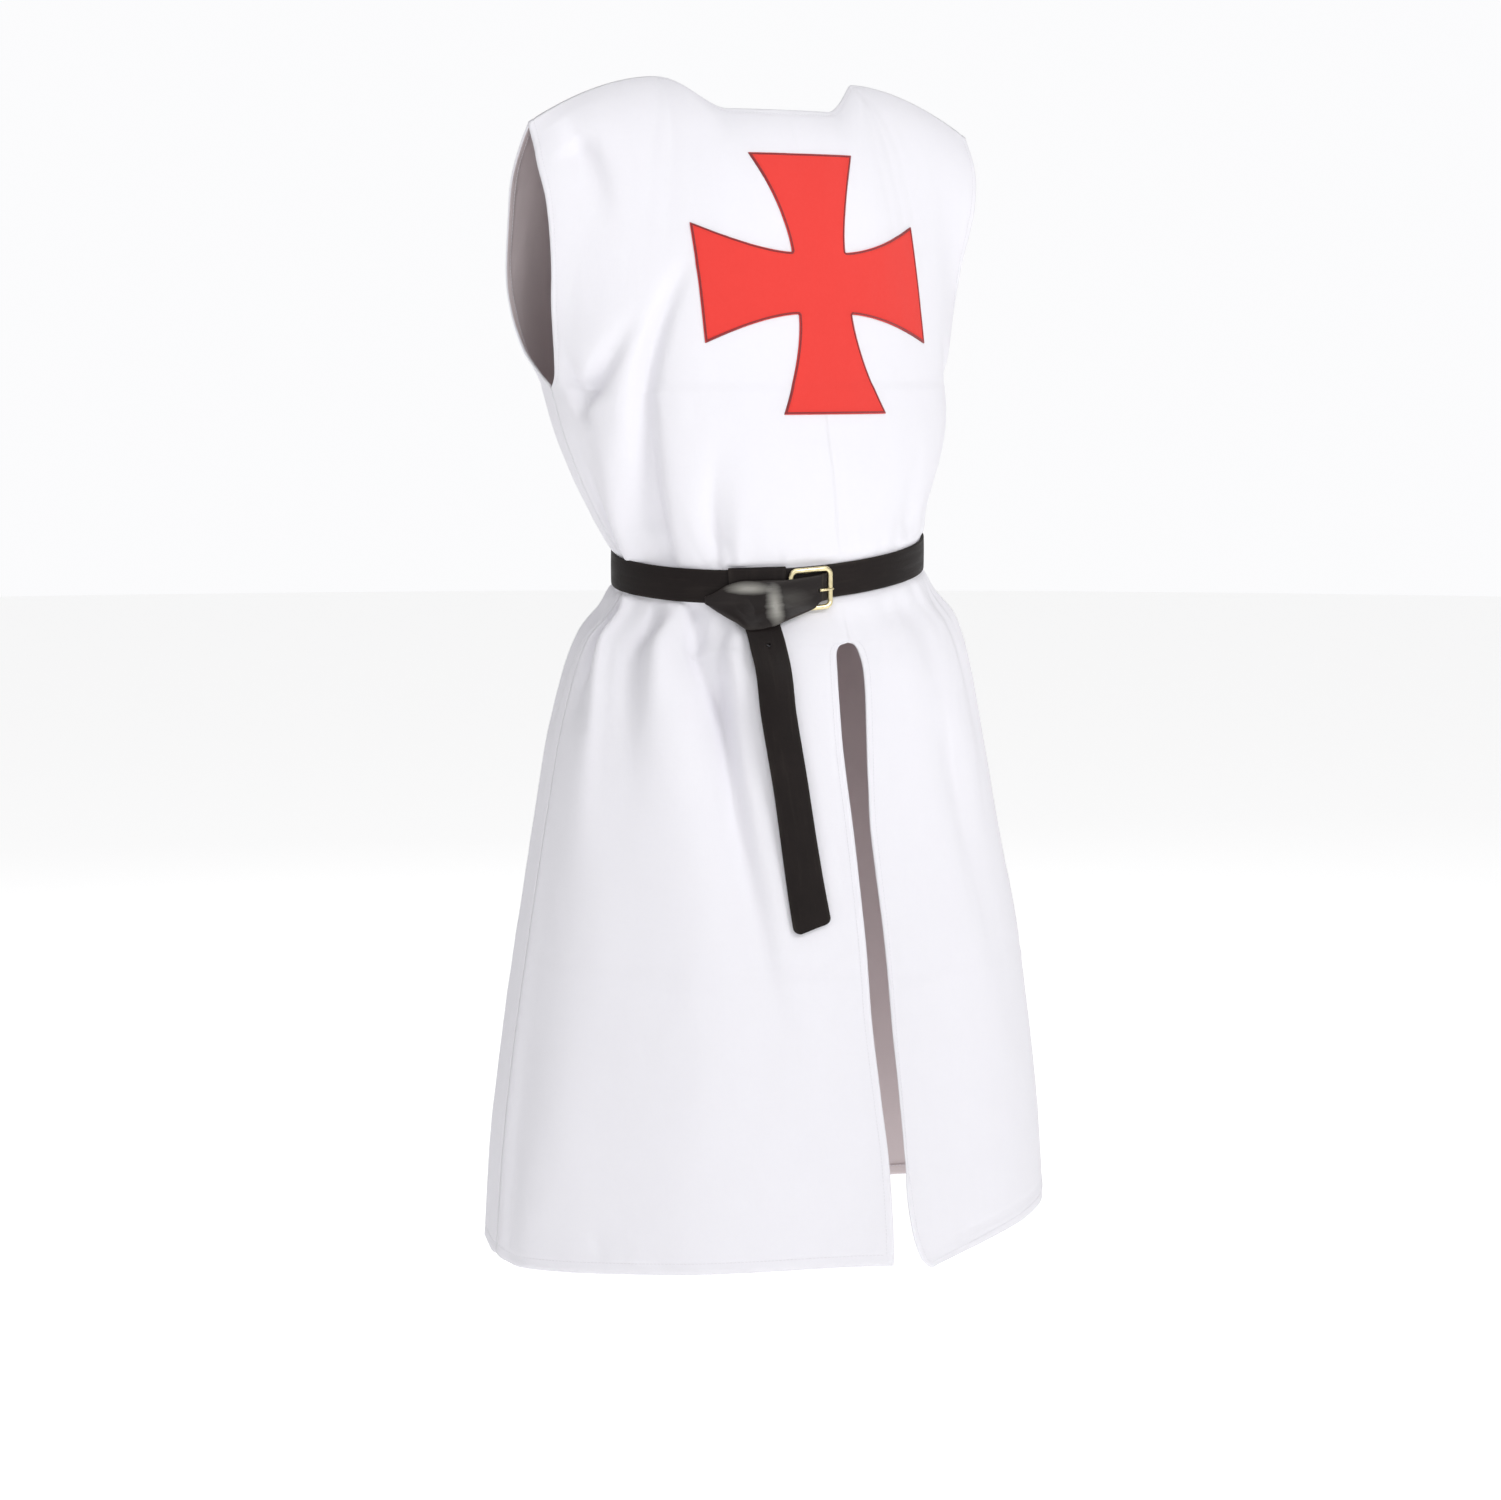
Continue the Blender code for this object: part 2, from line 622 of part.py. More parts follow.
def make_cross():
    """The applied cross: the front panel's own points moved out, cut to the outline."""
    places = column_places(FRONT_COLUMNS)
    heights = row_heights()
    rows = [i for i, height in enumerate(heights) if abs(height - CROSS_HEIGHT) < CROSS_ROWS_TO]
    columns = [j for j, across in enumerate(places) if abs(across) <= CROSS_COLUMNS_TO]
    outer, inner = {}, {}
    for i in rows:
        for j in columns:
            point, normal = cloth(FRONT, places[j], heights[i])
            inner[i, j] = point + normal * SEAM_GAP
            outer[i, j] = point + normal * (SEAM_GAP + APPLIQUE)
    cells = [
        [(i, j), (i, j + 1), (i + 1, j + 1), (i + 1, j)] for i in rows[:-1] for j in columns[:-1]
    ]
    mesh = bmesh.new()
    add_wall(mesh, outer, inner, cells)
    cross = finish("cross_applique", mesh, RED, CLOTH_ROUGHNESS)
    cut = cross.modifiers.new("outline", "BOOLEAN")
    cut.operation = "INTERSECT"
    cut.solver = "EXACT"
    cut.object = make_cross_cutter()


def make_strap():
    """The belt's loop round the waist, made from the panels' points and moved out."""
    half = BELT_WIDTH / 2
    section = [
        (-half, 0.0),
        (-half, LEATHER - BELT_BEVEL),
        (-half + BELT_BEVEL, LEATHER),
        (half - BELT_BEVEL, LEATHER),
        (half, LEATHER - BELT_BEVEL),
        (half, 0.0),
    ]
    ring = [(FRONT, across) for across in column_places(FRONT_COLUMNS)]
    ring += [(BACK, across) for across in column_places(BACK_COLUMNS)[-2:0:-1]]
    mesh = bmesh.new()
    loops = []
    for side, across in ring:
        low, _ = cloth(side, across, BELT - half)
        high, _ = cloth(side, across, BELT + half)
        _, normal = cloth(side, across, BELT)
        up = (high - low).normalized()
        normal = (normal - up * normal.dot(up)).normalized()
        middle = (low + high) / 2 + normal * SEAM_GAP
        loops.append([mesh.verts.new(middle + up * h + normal * lift) for h, lift in section])
    join_loops(mesh, loops, closed=True)
    finish("belt_strap", mesh, DARK_LEATHER, LEATHER_ROUGHNESS)


def join_loops(mesh, loops, closed):
    """Faces from each loop of a section to the next, with flat ends unless they meet."""
    count = len(loops[0])
    pairs = list(zip(loops, loops[1:]))
    if closed:
        pairs.append((loops[-1], loops[0]))
    else:
        mesh.faces.new(loops[0])
        mesh.faces.new(reversed(loops[-1]))
    for here, there in pairs:
        for k in range(count):
            nxt = (k + 1) % count
            mesh.faces.new((here[k], here[nxt], there[nxt], there[k]))


def front_at(x, height):
    """The front panel's outer face where it has this X, and its direction outward."""
    low, high = -1.0, 1.0
    for _ in range(HALVINGS):
        middle = (low + high) / 2
        if body_point(FRONT, middle, height).x < x:
            low = middle
        else:
            high = middle
    return cloth(FRONT, (low + high) / 2, height)


def make_laid_strap(name, rows, across_points):
    """A strap lying on the front: each row gives the X of its two edges, their heights and lifts."""
    mesh = bmesh.new()
    loops = []
    for row in rows:
        faces = []
        for k in range(across_points):
            share = k / (across_points - 1)
            x = row.x_a + (row.x_b - row.x_a) * share
            height = row.height_a + (row.height_b - row.height_a) * share
            point, normal = front_at(x, BELT + height)
            bulge = row.bulge * math.sin(math.pi * share)
            faces.append((point, normal, row.lift + bulge))
        under = [mesh.verts.new(p + n * lift) for p, n, lift in faces]
        over = [mesh.verts.new(p + n * (lift + STRAP_LEATHER)) for p, n, lift in reversed(faces)]
        loops.append(under + over)
    join_loops(mesh, loops, closed=False)
    finish(name, mesh, DARK_LEATHER, LEATHER_ROUGHNESS)


def tail_rows():
    half = BELT_WIDTH / 2
    rows = [
        StrapRow(HOOK_RIGHT, half + row.above_edge, HOOK_LEFT, half + row.above_edge, row.lift, 0)
        for row in HOOK
    ]
    top, bottom = TAIL[-1], TAIL[0]
    start_width = HOOK_LEFT - HOOK_RIGHT
    start_x = (HOOK_LEFT + HOOK_RIGHT) / 2
    for k in range(1, HOOK_STEPS + 1):
        share = k / (HOOK_STEPS + 1)
        height = half + (top.height - half) * share
        x = start_x + (top.middle - start_x) * smooth(share)
        width = start_width + (top.width - start_width) * smooth(share)
        rows.append(StrapRow(x - width / 2, height, x + width / 2, height, top.lift, 0))
    for k in range(TAIL_STEPS + 1):
        share = k / TAIL_STEPS
        height = top.height + (bottom.height + TAIL_CORNER - top.height) * share
        x = eased(TAIL, height, "middle")
        half_width = eased(TAIL, height, "width") / 2
        lift = eased(TAIL, height, "lift")
        slant = TAIL_SLANT / 2 * share
        rows.append(
            StrapRow(x - half_width, height - slant, x + half_width, height + slant, lift, 0)
        )
    last = rows[-1]
    for turn in TAIL_CORNER_TURNS:
        drop = TAIL_CORNER * math.sin(turn)
        narrow = TAIL_CORNER * (1 - math.cos(turn))
        rows.append(
            last._replace(
                x_a=last.x_a + narrow,
                height_a=last.height_a - drop,
                x_b=last.x_b - narrow,
                height_b=last.height_b - drop,
            )
        )
    return rows


def make_rod(name, points, radius, closed, tip):
    """A brass rod along these points, narrowed to this share at its last point."""
    curve = bpy.data.curves.new(name, "CURVE")
    curve.dimensions = "3D"
    curve.bevel_depth = radius
    curve.bevel_resolution = 2
    curve.use_fill_caps = True
    spline = curve.splines.new("POLY")
    spline.points.add(len(points) - 1)
    for point, place in zip(spline.points, points):
        point.co = (*place, 1)
    spline.points[-1].radius = tip
    spline.use_cyclic_u = closed
    obj = bpy.data.objects.new(name, curve)
    PARTS.objects.link(obj)
    paint(obj, BRASS, BRASS_ROUGHNESS, 1.0)


def on_belt(x, height, lift):
    point, normal = front_at(x, BELT + height)
    return point + normal * lift


def make_buckle():
    """A rounded oblong frame that lies on the belt, and the prong's end that rests on it."""
    lift = SEAM_GAP * 2 + LEATHER + FRAME_WIRE
    middle_x = (FRAME_LEFT_X + FRAME_RIGHT_X) / 2
    middle_z = (FRAME_TOP + FRAME_BOTTOM) / 2
    reach_x = (FRAME_RIGHT_X - FRAME_LEFT_X) / 2 - FRAME_CORNER
    reach_z = (FRAME_TOP - FRAME_BOTTOM) / 2 - FRAME_CORNER
    points = []
    for quarter, (sx, sz) in enumerate(((1, 1), (-1, 1), (-1, -1), (1, -1))):
        for k in range(FRAME_CORNER_POINTS):
            turn = math.pi / 2 * (quarter + k / (FRAME_CORNER_POINTS - 1))
            x = middle_x + sx * reach_x + FRAME_CORNER * math.cos(turn)
            z = middle_z + sz * reach_z + FRAME_CORNER * math.sin(turn)
            points.append(on_belt(x, z, lift))
        if sx == sz:
            points.append(on_belt(middle_x, middle_z + sz * (reach_z + FRAME_CORNER), lift))
    make_rod("buckle_frame", points, FRAME_WIRE, True, 1.0)
    tip_lift = lift + FRAME_WIRE + SEAM_GAP + PRONG_WIRE
    start = on_belt(PRONG_START_X, PRONG_HEIGHT, PRONG_START_LIFT)
    tip = on_belt(PRONG_TIP_X, PRONG_HEIGHT, tip_lift)
    middle = start.lerp(tip, 0.5)
    make_rod("buckle_prong", [start, middle, tip], PRONG_WIRE, False, PRONG_TIP_SHARE)


def clear_scene():
    for obj in list(bpy.data.objects):
        bpy.data.objects.remove(obj)


def new_collection(name):
    collection = bpy.data.collections.new(name)
    bpy.context.scene.collection.children.link(collection)
    return collection


clear_scene()
PARTS = new_collection("surcoat")
CUTTERS = new_collection("cutters")
make_panel("front_panel", FRONT, FRONT_COLUMNS)
make_panel("back_panel", BACK, BACK_COLUMNS)
make_cross()
make_strap()
make_laid_strap("belt_wrap", WRAP, WRAP_COLUMNS)
make_laid_strap("belt_tail", tail_rows(), TAIL_COLUMNS)
make_buckle()
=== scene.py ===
"""Looks of the belted surcoat: cloth with its folds and stitching, red cross, leather belt, buckle."""
import math
from collections import namedtuple

import bmesh
import bpy
import numpy as np
from mathutils import Matrix, Vector
from mathutils.bvhtree import BVHTree


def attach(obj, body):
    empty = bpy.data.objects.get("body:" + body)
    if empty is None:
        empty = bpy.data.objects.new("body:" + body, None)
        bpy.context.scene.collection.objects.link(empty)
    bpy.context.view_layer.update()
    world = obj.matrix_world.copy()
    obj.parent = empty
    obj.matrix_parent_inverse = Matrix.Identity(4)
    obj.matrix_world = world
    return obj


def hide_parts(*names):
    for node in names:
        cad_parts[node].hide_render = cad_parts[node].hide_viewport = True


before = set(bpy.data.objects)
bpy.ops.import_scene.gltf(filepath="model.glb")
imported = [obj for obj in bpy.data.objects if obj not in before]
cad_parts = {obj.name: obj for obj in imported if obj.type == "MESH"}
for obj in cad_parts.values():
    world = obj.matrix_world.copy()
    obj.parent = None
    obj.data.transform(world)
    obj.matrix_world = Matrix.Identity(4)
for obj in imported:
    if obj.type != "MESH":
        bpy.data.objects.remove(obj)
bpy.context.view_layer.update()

# ---------------------------------------------------------------- the garment's measures
# They began as the solids' own. The hem, the belt, the slit, the knot and the hanging end were
# moved here later to match the photo, and the solids were left.
FRONT, BACK = -1, 1
UNDERARM, BELT, SLIT_TOP, HEM, TOP = -0.300, -0.469, -0.5317, -1.140, 0.0
CLOTH, HEM_CLOTH, HEM_TURN, SEAM_GAP, APPLIQUE = 0.0018, 0.0030, 0.011, 0.0003, 0.0010
BELT_WIDTH, LEATHER, STRAP_LEATHER = 0.032, 0.0030, 0.0028
BELT_RISE, BELT_FRONT_DIP, BELT_SIDE_TILT, BELT_REACH = 0.0030, 0.0170, 0.0140, 0.17
HEM_RISE, HEM_SIDE_RISE, HEM_SIDE_TILT = {FRONT: 0.011, BACK: -0.014}, 0.0045, -0.0035
LEFT_DROP, LEFT_DROP_TO = 0.013, 0.60
HEM_CORNER_RISE, HEM_CORNER_WIDTH = 0.009, {FRONT: 0.09, BACK: 0.30}
HEM_HITCH, HEM_HITCH_AT, HEM_HITCH_WIDTH, HEM_HITCH_SPREAD = 0.017, 0.86, 0.14, 0.45
NECK_HALF_WIDTH, SHOULDER_Y, NECK_SHARE = 0.113, 0.020, 0.46
NECK_STEEPNESS, SHOULDER_STEEPNESS = math.radians(38), math.radians(20)
TOP_REACH, CHEST_REACH, UNDERARM_STEP, ARMHOLE_PULL = 0.72, 0.9, 0.02, 4
NECK_SOFTNESS, NECK_SOFT_FROM = 0.14, 0.35
SOFTENING = ((-1.0, 0.0625), (-0.5, 0.25), (0.0, 0.375), (0.5, 0.25), (1.0, 0.0625))
SHOULDER_DROP, SHOULDER_HALF_WIDTH, SHOULDER_BOW = 0.0475, 0.251, 1.75
ACROSS_STEP, HEIGHT_STEP, HALVINGS, TINY = 0.01, 0.003, 24, 1e-6
FOLD_HEAD, FLAT_AT_SEAM = 0.15, 0.06

Neckline = namedtuple("Neckline", "drop depth roundness corner")
NECKLINES = {
    FRONT: Neckline(0.031, -0.032, 2.6, 0.50),
    BACK: Neckline(0.033, 0.074, 1.6, 0.90),
}
Section = namedtuple(
    "Section", "height half_width front back front_fullness back_fullness prow lean_x lean_y"
)
SECTIONS = [
    Section(-1.140, 0.316, 0.252, 0.185, 0.610, 0.74, 0.85, 0.003, -0.015),
    Section(-1.036, 0.308, 0.240, 0.180, 0.620, 0.74, 0.80, 0.003, -0.015),
    Section(-0.872, 0.284, 0.219, 0.172, 0.640, 0.73, 0.70, 0.003, -0.012),
    Section(-0.709, 0.250, 0.193, 0.158, 0.670, 0.72, 0.50, -0.002, -0.010),
    Section(-0.620, 0.231, 0.177, 0.146, 0.690, 0.72, 0.30, -0.004, -0.010),
    Section(-0.555, 0.215, 0.162, 0.134, 0.705, 0.72, 0.10, -0.004, -0.010),
    Section(-0.522, 0.203, 0.150, 0.124, 0.710, 0.715, 0.0, -0.004, -0.010),
    Section(-0.469, 0.161, 0.134, 0.104, 0.715, 0.710, 0.0, -0.005, -0.008),
    Section(-0.435, 0.177, 0.141, 0.113, 0.720, 0.715, 0.0, -0.010, -0.005),
    Section(-0.391, 0.196, 0.142, 0.122, 0.725, 0.72, 0.0, -0.012, -0.001),
    Section(-0.340, 0.211, 0.140, 0.127, 0.730, 0.725, 0.0, -0.014, 0.006),
    Section(-0.300, 0.217, 0.137, 0.128, 0.730, 0.73, 0.0, -0.016, 0.012),
]

# The armhole's edge, from the underarm seam (0) up to the shoulder's tip (1)
ArmholeRow = namedtuple("ArmholeRow", "share height half_width lean_x front_y back_y")
ARMHOLE = [
    ArmholeRow(0.00, -0.300, 0.217, -0.016, 0.012, 0.012),
    ArmholeRow(0.07, -0.289, 0.220, -0.016, 0.000, 0.029),
    ArmholeRow(0.17, -0.265, 0.226, -0.017, -0.013, 0.052),
    ArmholeRow(0.33, -0.225, 0.230, -0.018, -0.020, 0.068),
    ArmholeRow(0.50, -0.185, 0.233, -0.016, -0.023, 0.074),
    ArmholeRow(0.70, -0.125, 0.244, -0.006, -0.016, 0.066),
    ArmholeRow(0.87, -0.080, 0.251, -0.002, 0.000, 0.042),
    ArmholeRow(1.00, -0.0475, 0.251, 0.000, 0.020, 0.020),
]

# The slit's two edges, as distances from the centre front: the slit leans to the right
SlitRow = namedtuple("SlitRow", "height right_edge left_edge")
SLIT = [
    SlitRow(-1.140, 0.0195, 0.0440),
    SlitRow(-1.129, 0.0180, 0.0260),
    SlitRow(-1.095, 0.0172, 0.0085),
    SlitRow(-1.054, 0.0174, 0.0002),
    SlitRow(-0.978, 0.0211, -0.0015),
    SlitRow(-0.894, 0.0240, -0.0034),
    SlitRow(-0.810, 0.0224, -0.0028),
    SlitRow(-0.725, 0.0212, -0.0030),
    SlitRow(-0.642, 0.0225, 0.0050),
    SlitRow(-0.590, 0.0210, 0.0100),
    SlitRow(-0.558, 0.0185, 0.0120),
    SlitRow(-0.5415, 0.0155, 0.0107),
    SlitRow(-0.536, 0.0122, 0.0085),
    SlitRow(-0.533, 0.0085, 0.0055),
    SlitRow(SLIT_TOP, 0.0, 0.0),
]

# A fold runs from its deep head to its faint tail; across is the share of the half panel,
# from -1 at the wearer's right seam to 1 at the left. A trough has a negative depth.
Fold = namedtuple("Fold", "side head_across head_height tail_across tail_height width depth")
FOLDS = [
    Fold(FRONT, -0.97, -0.490, -0.88, -0.640, 0.013, -0.0080),
    Fold(FRONT, -0.77, -0.490, -0.69, -0.700, 0.015, -0.0110),
    Fold(FRONT, -0.66, -0.490, -0.60, -0.690, 0.016, 0.0060),
    Fold(FRONT, -0.57, -0.487, -0.32, -0.690, 0.022, -0.0130),
    Fold(FRONT, -0.37, -0.550, -0.25, -0.900, 0.026, -0.0090),
    Fold(FRONT, 0.34, -0.600, 0.53, -0.980, 0.022, -0.0050),
    Fold(FRONT, 0.32, -0.490, 0.36, -0.640, 0.018, -0.0050),
    Fold(FRONT, 0.58, -0.490, 0.62, -0.720, 0.020, -0.0070),
    Fold(FRONT, 0.83, -0.490, 0.86, -0.660, 0.018, -0.0070),
    Fold(FRONT, -0.77, -0.447, -0.37, -0.200, 0.020, -0.0110),
    Fold(FRONT, -0.475, -0.447, -0.31, -0.325, 0.013, -0.0075),
    Fold(FRONT, -0.82, -0.315, -0.53, -0.225, 0.018, -0.0080),
    Fold(FRONT, -0.80, -0.310, -0.93, -0.260, 0.014, -0.0050),
    Fold(FRONT, -0.88, -0.050, -0.66, -0.175, 0.018, -0.0050),
    Fold(FRONT, 0.38, -0.447, 0.36, -0.330, 0.016, -0.0050),
    Fold(FRONT, 0.70, -0.447, 0.64, -0.290, 0.018, -0.0070),
    Fold(FRONT, 0.82, -0.315, 0.64, -0.235, 0.018, -0.0060),
    Fold(BACK, -0.85, -0.497, -0.88, -0.660, 0.016, -0.0090),
    Fold(BACK, -0.60, -0.497, -0.64, -0.740, 0.019, -0.0120),
    Fold(BACK, -0.36, -0.497, -0.38, -0.660, 0.016, -0.0090),
    Fold(BACK, -0.12, -0.497, -0.13, -0.800, 0.021, -0.0130),
    Fold(BACK, 0.14, -0.497, 0.17, -0.670, 0.016, -0.0090),
    Fold(BACK, 0.38, -0.497, 0.42, -0.760, 0.020, -0.0120),
    Fold(BACK, 0.64, -0.497, 0.69, -0.640, 0.015, -0.0090),
    Fold(BACK, 0.86, -0.497, 0.89, -0.720, 0.018, -0.0100),
    Fold(BACK, -0.70, -0.450, -0.72, -0.320, 0.016, -0.0080),
    Fold(BACK, -0.42, -0.450, -0.36, -0.240, 0.018, -0.0100),
    Fold(BACK, -0.05, -0.450, -0.02, -0.340, 0.015, -0.0075),
    Fold(BACK, 0.26, -0.450, 0.22, -0.300, 0.016, -0.0090),
    Fold(BACK, 0.58, -0.450, 0.56, -0.270, 0.018, -0.0090),
]
# Soft flutes of the skirt, which grow towards the hem
Flute = namedtuple("Flute", "side across width depth")
FLUTES_FROM = -0.57
FLUTES = [
    Flute(FRONT, -0.94, 0.045, -0.006),
    Flute(FRONT, -0.52, 0.050, 0.004),
    Flute(FRONT, 0.55, 0.050, 0.004),
    Flute(FRONT, 0.82, 0.045, -0.007),
    Flute(BACK, -0.70, 0.048, -0.008),
    Flute(BACK, -0.28, 0.050, 0.006),
    Flute(BACK, 0.12, 0.048, -0.008),
    Flute(BACK, 0.48, 0.050, 0.006),
    Flute(BACK, 0.80, 0.045, -0.007),
]

# A strap laid on the front: the X and height of its two edges, the height measured from the
# belt's middle, and how far its inner face lifts off the cloth, with a bulge along its middle
StrapRow = namedtuple("StrapRow", "x_a height_a x_b height_b lift bulge")
WRAP = [
    StrapRow(-0.0195, 0.0090, -0.0195, -0.0185, 0.0036, 0.0),
    StrapRow(-0.0240, 0.0085, -0.0240, -0.0190, 0.0052, 0.0),
    StrapRow(-0.0280, 0.0080, -0.0280, -0.0200, 0.0079, 0.0),
    StrapRow(-0.0340, 0.0075, -0.0345, -0.0275, 0.0082, 0.0),
    StrapRow(-0.0450, 0.0068, -0.0470, -0.0330, 0.0086, 0.0),
    StrapRow(-0.0600, 0.0058, -0.0640, -0.0400, 0.0090, 0.001),
    StrapRow(-0.0780, 0.0064, -0.0810, -0.0465, 0.0094, 0.002),
    StrapRow(-0.0950, 0.0064, -0.0985, -0.0485, 0.0090, 0.001),
    StrapRow(-0.1080, 0.0030, -0.1085, -0.0380, 0.0078, 0.0),
    StrapRow(-0.1190, -0.0055, -0.1195, -0.0250, 0.0060, 0.0),
    StrapRow(-0.1255, -0.0095, -0.1255, -0.0175, 0.0042, 0.0),
]
# The free end: over the belt's top edge, behind the wrap and down the skirt
HookRow = namedtuple("HookRow", "above_edge lift")
HOOK = [HookRow(0.0008, 0.0006), HookRow(0.0018, 0.0022), HookRow(-0.0008, 0.0040)]
HOOK_RIGHT, HOOK_LEFT = -0.109, -0.060
HOOK_STEPS = 4
TailRow = namedtuple("TailRow", "height middle width lift")
TAIL = [
    TailRow(-0.344, -0.0660, 0.0356, 0.0018),
    TailRow(-0.316, -0.0690, 0.0346, 0.0022),
    TailRow(-0.219, -0.0786, 0.0318, 0.0070),
    TailRow(-0.119, -0.0880, 0.0312, 0.0110),
    TailRow(-0.075, -0.0880, 0.0323, 0.0090),
    TailRow(-0.045, -0.0860, 0.0320, 0.0040),
]
TAIL_SLANT = 0.008
TAIL_STEPS = 11
TAIL_CORNER = 0.007
TAIL_END_TURNS = (15, 30, 45, 60, 75, 88)
HOLE_HEIGHT, HOLE_RADIUS = -0.064, 0.0020
# The knot's reach on the front, its lit ridge, the hollow beside it and its rolled lower fold
KNOT_RIGHT, KNOT_LEFT, KNOT_LOW, KNOT_HIGH = -0.126, -0.018, -0.048, 0.020
KNOT_RIDGE, KNOT_RIDGE_X, KNOT_HOLLOW, KNOT_HOLLOW_X = 0.0040, -0.0775, 0.0016, -0.0960
KNOT_ROLL = 0.0022

# Buckle
FRAME_LEFT_X, FRAME_RIGHT_X = -0.0555, -0.0165
FRAME_TOP, FRAME_BOTTOM = 0.0130, -0.0258
FRAME_CORNER = 0.006
FRAME_WIRE = 0.0026
PRONG_WIRE = 0.0014
PRONG_HEIGHT = -0.0065
PRONG_START_X, PRONG_TIP_X = -0.0300, -0.0145
PRONG_START_LIFT = 0.0130
PRONG_TIP_SHARE = 0.7

# Cross on the chest
CROSS_SIZE, CROSS_END, CROSS_WAIST, CROSS_FLARE = 0.258, 0.117, 0.061, 1.6
CROSS_HEIGHT, CROSS_X, CHEST_SLOPE = -0.200, 0.002, math.radians(15)

# ---------------------------------------------------------------- surface of the cloth
def smooth(u):
    u = np.clip(u, 0.0, 1.0)
    return u * u * (3 - 2 * u)


def bump(u):
    """A hump that is 1 at 0 and fades with a soft foot."""
    return np.exp(-u * u)


def hermite(start, start_slope, end, end_slope, u):
    return (
        (2 * u**3 - 3 * u**2 + 1) * start
        + (u**3 - 2 * u**2 + u) * start_slope
        + (3 * u**2 - 2 * u**3) * end
        + (u**3 - u**2) * end_slope
    )


def eased(table, place, column):
    """A column's values at these places of the table's first column, on a curve with no overshoot."""
    places = np.array([row[0] for row in table])
    values = np.array([getattr(row, column) for row in table])
    place = np.clip(place, places[0], places[-1])
    rises = np.diff(values) / np.diff(places)
    slopes = np.empty(len(values))
    slopes[0], slopes[-1] = rises[0], rises[-1]
    before, after = rises[:-1], rises[1:]
    same = before * after > 0
    total = np.where(same, before + after, 1.0)
    slopes[1:-1] = np.where(same, 2 * before * after / total, 0.0)
    k = np.clip(np.searchsorted(places, place, side="right") - 1, 0, len(places) - 2)
    step = places[k + 1] - places[k]
    u = (place - places[k]) / step
    return hermite(values[k], slopes[k] * step, values[k + 1], slopes[k + 1] * step, u)


def under_belt(height):
    away = np.abs(height - BELT)
    half = BELT_WIDTH / 2
    stretched = np.maximum(0.0, away - half) * BELT_REACH / (BELT_REACH - half)
    return np.where(away >= BELT_REACH, height, BELT + np.copysign(stretched, height - BELT))


def half_ring(side, height):
    width = eased(SECTIONS, height, "half_width")
    depth = eased(SECTIONS, height, "front" if side == FRONT else "back")
    fullness = eased(SECTIONS, height, "front_fullness" if side == FRONT else "back_fullness")
    middle_x, middle_y = fullness * width, fullness * depth
    inner = np.hypot(middle_x, depth - middle_y)
    outer = np.hypot(width - middle_x, middle_y)
    return width, depth, middle_x, middle_y, inner, outer


def reach_of(side, height):
    """Length of the half panel from its middle to its side at this height."""
    *_, inner, outer = half_ring(side, under_belt(np.minimum(height, UNDERARM)))
    return inner + outer


def tilt(side, across, height):
    facing = np.cos(across * math.pi / 2)
    leftward = np.sin(across * math.pi / 2)
    belt = BELT_RISE + side * BELT_FRONT_DIP * facing + BELT_SIDE_TILT * leftward
    hem = HEM_RISE[side] * facing + HEM_SIDE_RISE * (1 - facing) - HEM_SIDE_TILT * leftward
    corner = np.clip(1 - (1 - np.abs(across)) / HEM_CORNER_WIDTH[side], 0.0, 1.0)
    hem = hem + HEM_CORNER_RISE * corner**2
    if side == FRONT:
        hem = hem - np.where(across > 0, LEFT_DROP * smooth(1 - across / LEFT_DROP_TO), 0.0)
    else:
        inward = (np.abs(across) - HEM_HITCH_AT) / HEM_HITCH_WIDTH
        inward = np.where(inward < 0, inward * HEM_HITCH_SPREAD, inward)
        hem = hem + HEM_HITCH * smooth(1 - np.abs(inward))
    near_belt = smooth(1 - np.abs(height - BELT) / BELT_REACH)
    near_hem = smooth((BELT - BELT_REACH - height) / (BELT - BELT_REACH - HEM))
    return belt * near_belt + hem * near_hem


def body_point(side, across, height):
    at = under_belt(height)
    width, depth, middle_x, middle_y, inner, outer = half_ring(side, at)
    prow = eased(SECTIONS, at, "prow") * depth / width if side == FRONT else 0.0 * at
    chord = np.hypot(width, depth)
    along_x, along_y = width / chord, -depth / chord
    q = np.abs(across)
    pace = inner / np.hypot(1, prow)
    x_in = hermite(0.0, pace, middle_x, along_x * inner, 2 * q)
    y_in = hermite(depth, -prow * pace, middle_y, along_y * inner, 2 * q)
    x_out = hermite(middle_x, along_x * outer, width, 0.0, 2 * q - 1)
    y_out = hermite(middle_y, along_y * outer, 0.0, -outer, 2 * q - 1)
    near = q <= 0.5
    x = np.copysign(np.where(near, x_in, x_out), across) + eased(SECTIONS, at, "lean_x")
    y = side * np.where(near, y_in, y_out) + eased(SECTIONS, at, "lean_y")
    return np.stack([x, y, height + tilt(side, across, height)], axis=-1)


